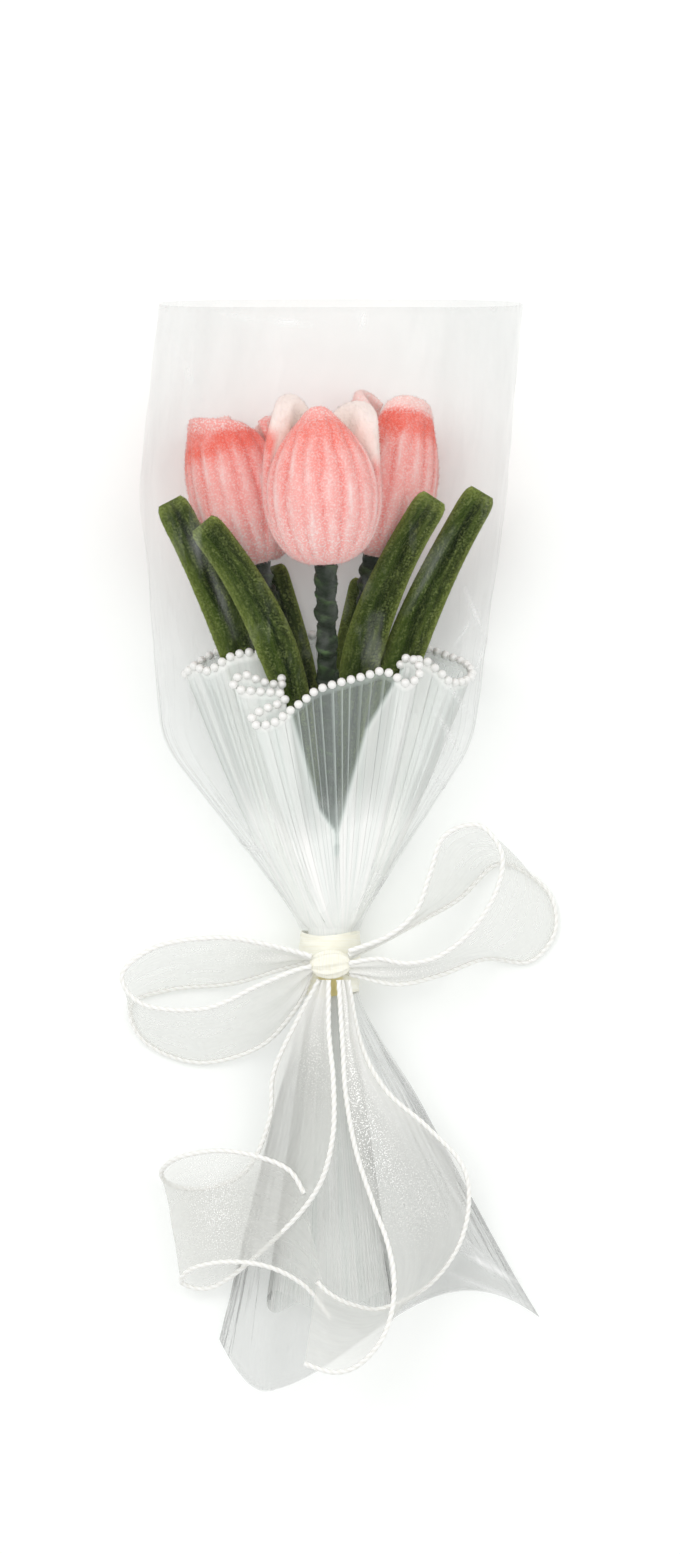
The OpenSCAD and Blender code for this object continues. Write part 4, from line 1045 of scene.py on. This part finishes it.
# Ribbon stations: a point of the lower edge and the way across to the other edge, as a share of the width
RIBBON_W = 38.0
WEB_COLS = 21
CORD_R = 0.85
CORD_SIDES = 10
CORD_STEP = 0.35
CORD_LAY = 3.0
ROOT_X = 6.7
ROOT_Y = KNOT_Y - 5.7
TABLE = 2.0
RIBBONS = {
    "left_loop": [
        [[-ROOT_X, KNOT_Y + 1, KNOT_Z - 3], [0, 0.05, 0.14]], [[-19, -8, 16], [-0.08, 0.25, 0.45]],
        [[-36, -13, 5], [-0.10, 0.45, 0.80]], [[-57, -15, TABLE + 0.5], [-0.13, 0.42, 0.88]],
        [[-72, -20.5, TABLE], [-0.07, 0.30, 0.90]], [[-67, -34, TABLE], [0, 0.37, 0.88]],
        [[-48, -41.5, TABLE + 0.5], [0.08, 0.53, 0.84]], [[-26, -36, 7], [0, 0.60, 0.66]],
        [[-12.5, -22, 18], [-0.02, 0.37, 0.32]], [[-ROOT_X, KNOT_Y - 3, KNOT_Z - 3], [0, 0.06, 0.12]]],
    "right_loop": [
        [[ROOT_X, KNOT_Y + 2, KNOT_Z - 3], [0, 0.07, 0.12]], [[20, 3, 20], [0.03, 0.05, 0.32]],
        [[34, 10.5, 12], [-0.08, 0.09, 0.55]], [[47, 18, 5], [-0.29, 0.26, 0.76]],
        [[60, 30, TABLE + 0.5], [-0.50, 0.28, 0.83]], [[71, 27, TABLE], [-0.47, 0.46, 0.84]],
        [[80, 18, TABLE], [-0.49, 0.45, 0.84]], [[81, 5, TABLE], [-0.55, 0.45, 0.83]],
        [[72, -5, TABLE], [-0.53, 0.34, 0.82]], [[56, -4, 6], [-0.42, 0.05, 0.68]],
        [[40, -9.7, 14], [-0.32, 0.12, 0.45]], [[24, -13, 20], [-0.18, 0.25, 0.26]],
        [[ROOT_X, KNOT_Y - 3.5, KNOT_Z - 3], [0, 0.10, 0.12]]],
    "left_tail": [
        [[-4, ROOT_Y, KNOT_Z - 1.5], [0.09, 0, 0.06]], [[-13, -28, 21], [0.33, -0.05, 0.26]],
        [[-20.5, -45, 16], [0.57, -0.08, 0.50]], [[-22, -62, 13], [0.60, -0.16, 0.58]],
        [[-30, -80, 8], [0.66, -0.18, 0.58]], [[-44, -87, 4.5], [0.63, -0.47, 0.41]],
        [[-57, -86, 5], [0.42, -0.95, 0.08]], [[-61, -81, 12], [0.20, -1.06, -0.10]],
        [[-55, -75.5, 21], [0.13, -1.06, -0.16]], [[-41, -72.7, 26], [0.10, -1.06, -0.16]],
        [[-27, -74.5, 28], [0.13, -1.06, -0.18]], [[-15, -79.5, 28], [0.16, -1.12, -0.29]],
        [[-9.4, -88, 27], [0.25, -1.2, -0.34]]],
    "right_tail": [
        [[6.5, ROOT_Y, KNOT_Z - 1.5], [-0.09, 0, 0.06]], [[11, -34, 24], [-0.17, -0.04, 0.18]],
        [[20, -51, 21], [-0.38, -0.03, 0.30]], [[35, -64.5, 18.5], [-0.68, -0.20, 0.34]],
        [[47.5, -78, 16.5], [-0.85, -0.34, 0.36]], [[50, -92, 15], [-0.78, -0.34, 0.45]],
        [[46, -108, 14], [-0.61, -0.24, 0.55]], [[35, -122, 13.5], [-0.34, -0.21, 0.68]],
        [[19, -130, 14], [-0.03, -0.29, 0.71]], [[8, -128.5, 18], [0.05, -0.55, 0.58]],
        [[0, -124.5, 22], [0.03, -0.72, 0.42]], [[-4.7, -120, 24], [-0.12, -0.76, 0.30]]],
}

# Painted sparkle patches, white glints: middle along the ribbon and across it, half length, half width and strength
SPARKLE = {
    "left_loop": [(24, 0.6, 12, 0.3, 0.3)],
    "right_loop": [(150, 0.4, 14, 0.4, 0.3)],
    "left_tail": [(30, 0.7, 14, 0.3, 0.3), (150, 0.45, 9, 0.45, 1.0)],
    "right_tail": [(38, 0.75, 26, 0.3, 0.9), (62, 0.8, 16, 0.25, 0.9), (86, 0.55, 12, 0.3, 0.4)],
}


def shine(name, run, across):
    """How much painted sparkle a ribbon has at each point: soft spots at the places listed for it."""
    total = 0
    for middle, side, length, width, strength in SPARKLE[name]:
        total = total + strength * np.exp(-((run[:, None] - middle) / length) ** 2 - ((across - side) / width) ** 2)
    return within(total)


def ribbon(name, seed):
    """Sheer ribbon between two edge curves, slightly slack across, and its two corded edges."""
    low = spline([s[0] for s in RIBBONS[name]], 14)
    high = spline([np.array(s[0]) + RIBBON_W * np.array(s[1]) for s in RIBBONS[name]], 14)
    s = np.linspace(0, 1, WEB_COLS)[None, :, None]
    p = mix(low[:, None], high[:, None], s)
    normal = grid_normals(p)
    run = run_along((low + high) / 2)
    wide = np.linalg.norm(high - low, axis=1)
    tight = within(1 - wide / RIBBON_W)[:, None]
    inside = np.sin(np.pi * s[..., 0]) ** 0.7
    sag = inside * (0.5 * ripple(run[:, None] / 14 + 2 * s[..., 0], seed) + 1.6 * tight * np.sin(14 * s[..., 0] + seed))
    p = p + normal * sag[..., None]
    across = np.broadcast_to(s[..., 0], p.shape[:2])
    values = {"around": across, "along": np.broadcast_to(run[:, None] / RIBBON_W, p.shape[:2]),
              "dense": np.clip(0.75 * tight ** 1.4, 0, 0.7) + 0 * across, "painted_sparkle": shine(name, run, across)}
    web = piece(name, name, p, grid_faces(len(low), WEB_COLS).tolist(), values, WEB, [name])
    rings, faces, twist_shade = [], [], []
    for edge in (low, high):
        line = resample(edge, int(run_along(edge)[-1] / CORD_STEP))
        length = np.arange(len(line))[:, None] * CORD_STEP
        strand = np.cos(2 * turns(CORD_SIDES)[None, :] - 2 * np.pi * length / CORD_LAY)
        points, _ = tube(line, CORD_R * (1 + 0.10 * strand), CORD_SIDES)
        start = sum(len(r) for r in rings)
        quads = grid_faces(len(line), CORD_SIDES, wrap_cols=True) + start
        faces += quads.tolist() + (np.array(end_caps(len(line), CORD_SIDES)) + start).tolist()
        rings.append(points.reshape(-1, 3))
        twist_shade.append(((1 - strand) / 2).ravel() ** 2)
    cords = piece(name + "_cords", name, np.vstack(rings), faces, {"twist_shade": np.concatenate(twist_shade)}, CORD, ())
    return web, cords, float(run[-1])


tie_band()
bow_knot()
ribbon_pieces = {name: ribbon(name, 90 + k) for k, name in enumerate(RIBBONS)}


# Table, light and camera


def table():
    """White table top: a wide flat sheet that keeps the bouquet's shadow."""
    mesh = bpy.data.meshes.new("table")
    half = 3.0
    mesh.from_pydata([(-half, -half, 0), (half, -half, 0), (half, half, 0), (-half, half, 0)], [], [(0, 1, 2, 3)])
    obj = bpy.data.objects.new("table", mesh)
    scene.collection.objects.link(obj)
    s = Shader("table_white", Roughness=0.8, Specular_IOR_Level=0.1)
    path = s.node("LightPath").outputs
    seen = s.sums("MAXIMUM", s.sums("MAXIMUM", path["Is Camera Ray"], path["Is Glossy Ray"]),
                  path["Is Transmission Ray"])
    s.bsdf.inputs["Emission Color"].default_value = (1, 1, 1, 1)
    glow = s.times(seen, 0.11)
    obj.data.materials.append(s.finish(Base_Color=tint(245, 247, 245), Emission_Strength=glow))


def lamp(name, place, target, size, power):
    """Square soft light that faces a target."""
    light = bpy.data.lights.new(name, "AREA")
    light.size = size
    light.energy = power
    obj = bpy.data.objects.new(name, light)
    obj.location = place
    obj.rotation_euler = (Vector(target) - Vector(place)).to_track_quat("-Z", "Y").to_euler()
    scene.collection.objects.link(obj)


def studio():
    """Even white surround: a plain light level on the object, and white where the camera looks past the table."""
    world = bpy.data.worlds.new("studio")
    world.use_nodes = True
    tree = world.node_tree
    background = tree.nodes["Background"]
    background.inputs["Color"].default_value = (1, 1, 1, 1)
    level = tree.nodes.new("ShaderNodeMapRange")
    level.inputs["To Min"].default_value = 0.74
    level.inputs["To Max"].default_value = 1.0
    path = tree.nodes.new("ShaderNodeLightPath")
    tree.links.new(path.outputs["Is Camera Ray"], level.inputs["Value"])
    tree.links.new(level.outputs[0], background.inputs["Strength"])
    scene.world = world


PHOTO_W, PHOTO_H = 680, 1554
MM_PER_PIXEL = 0.36
PHOTO_MIDDLE = (339, 850)
CAMERA_FAR = 4.0
LEVEL = 0.025


def camera():
    """Camera straight above the table, far away, with the photo's frame round the bouquet."""
    data = bpy.data.cameras.new("camera")
    data.sensor_width = 36
    data.lens = 18 * CAMERA_FAR / (MM_PER_PIXEL / 1000 * PHOTO_H / 2)
    obj = bpy.data.objects.new("camera", data)
    x = (PHOTO_W / 2 - PHOTO_MIDDLE[0]) * MM_PER_PIXEL / 1000
    y = (PHOTO_MIDDLE[1] - PHOTO_H / 2) * MM_PER_PIXEL / 1000
    obj.location = (x, y, CAMERA_FAR + LEVEL)
    data.clip_end = 20
    scene.collection.objects.link(obj)
    scene.camera = obj


table()
lamp("key", (-0.8, 0.7, 1.7), (0, 0, 0), 1.4, 11)
lamp("fill", (1.0, 0.3, 1.5), (0, 0, 0), 1.2, 5)
camera()
studio()
scene.view_settings.view_transform = "Standard"
scene.cycles.transparent_max_bounces = 48
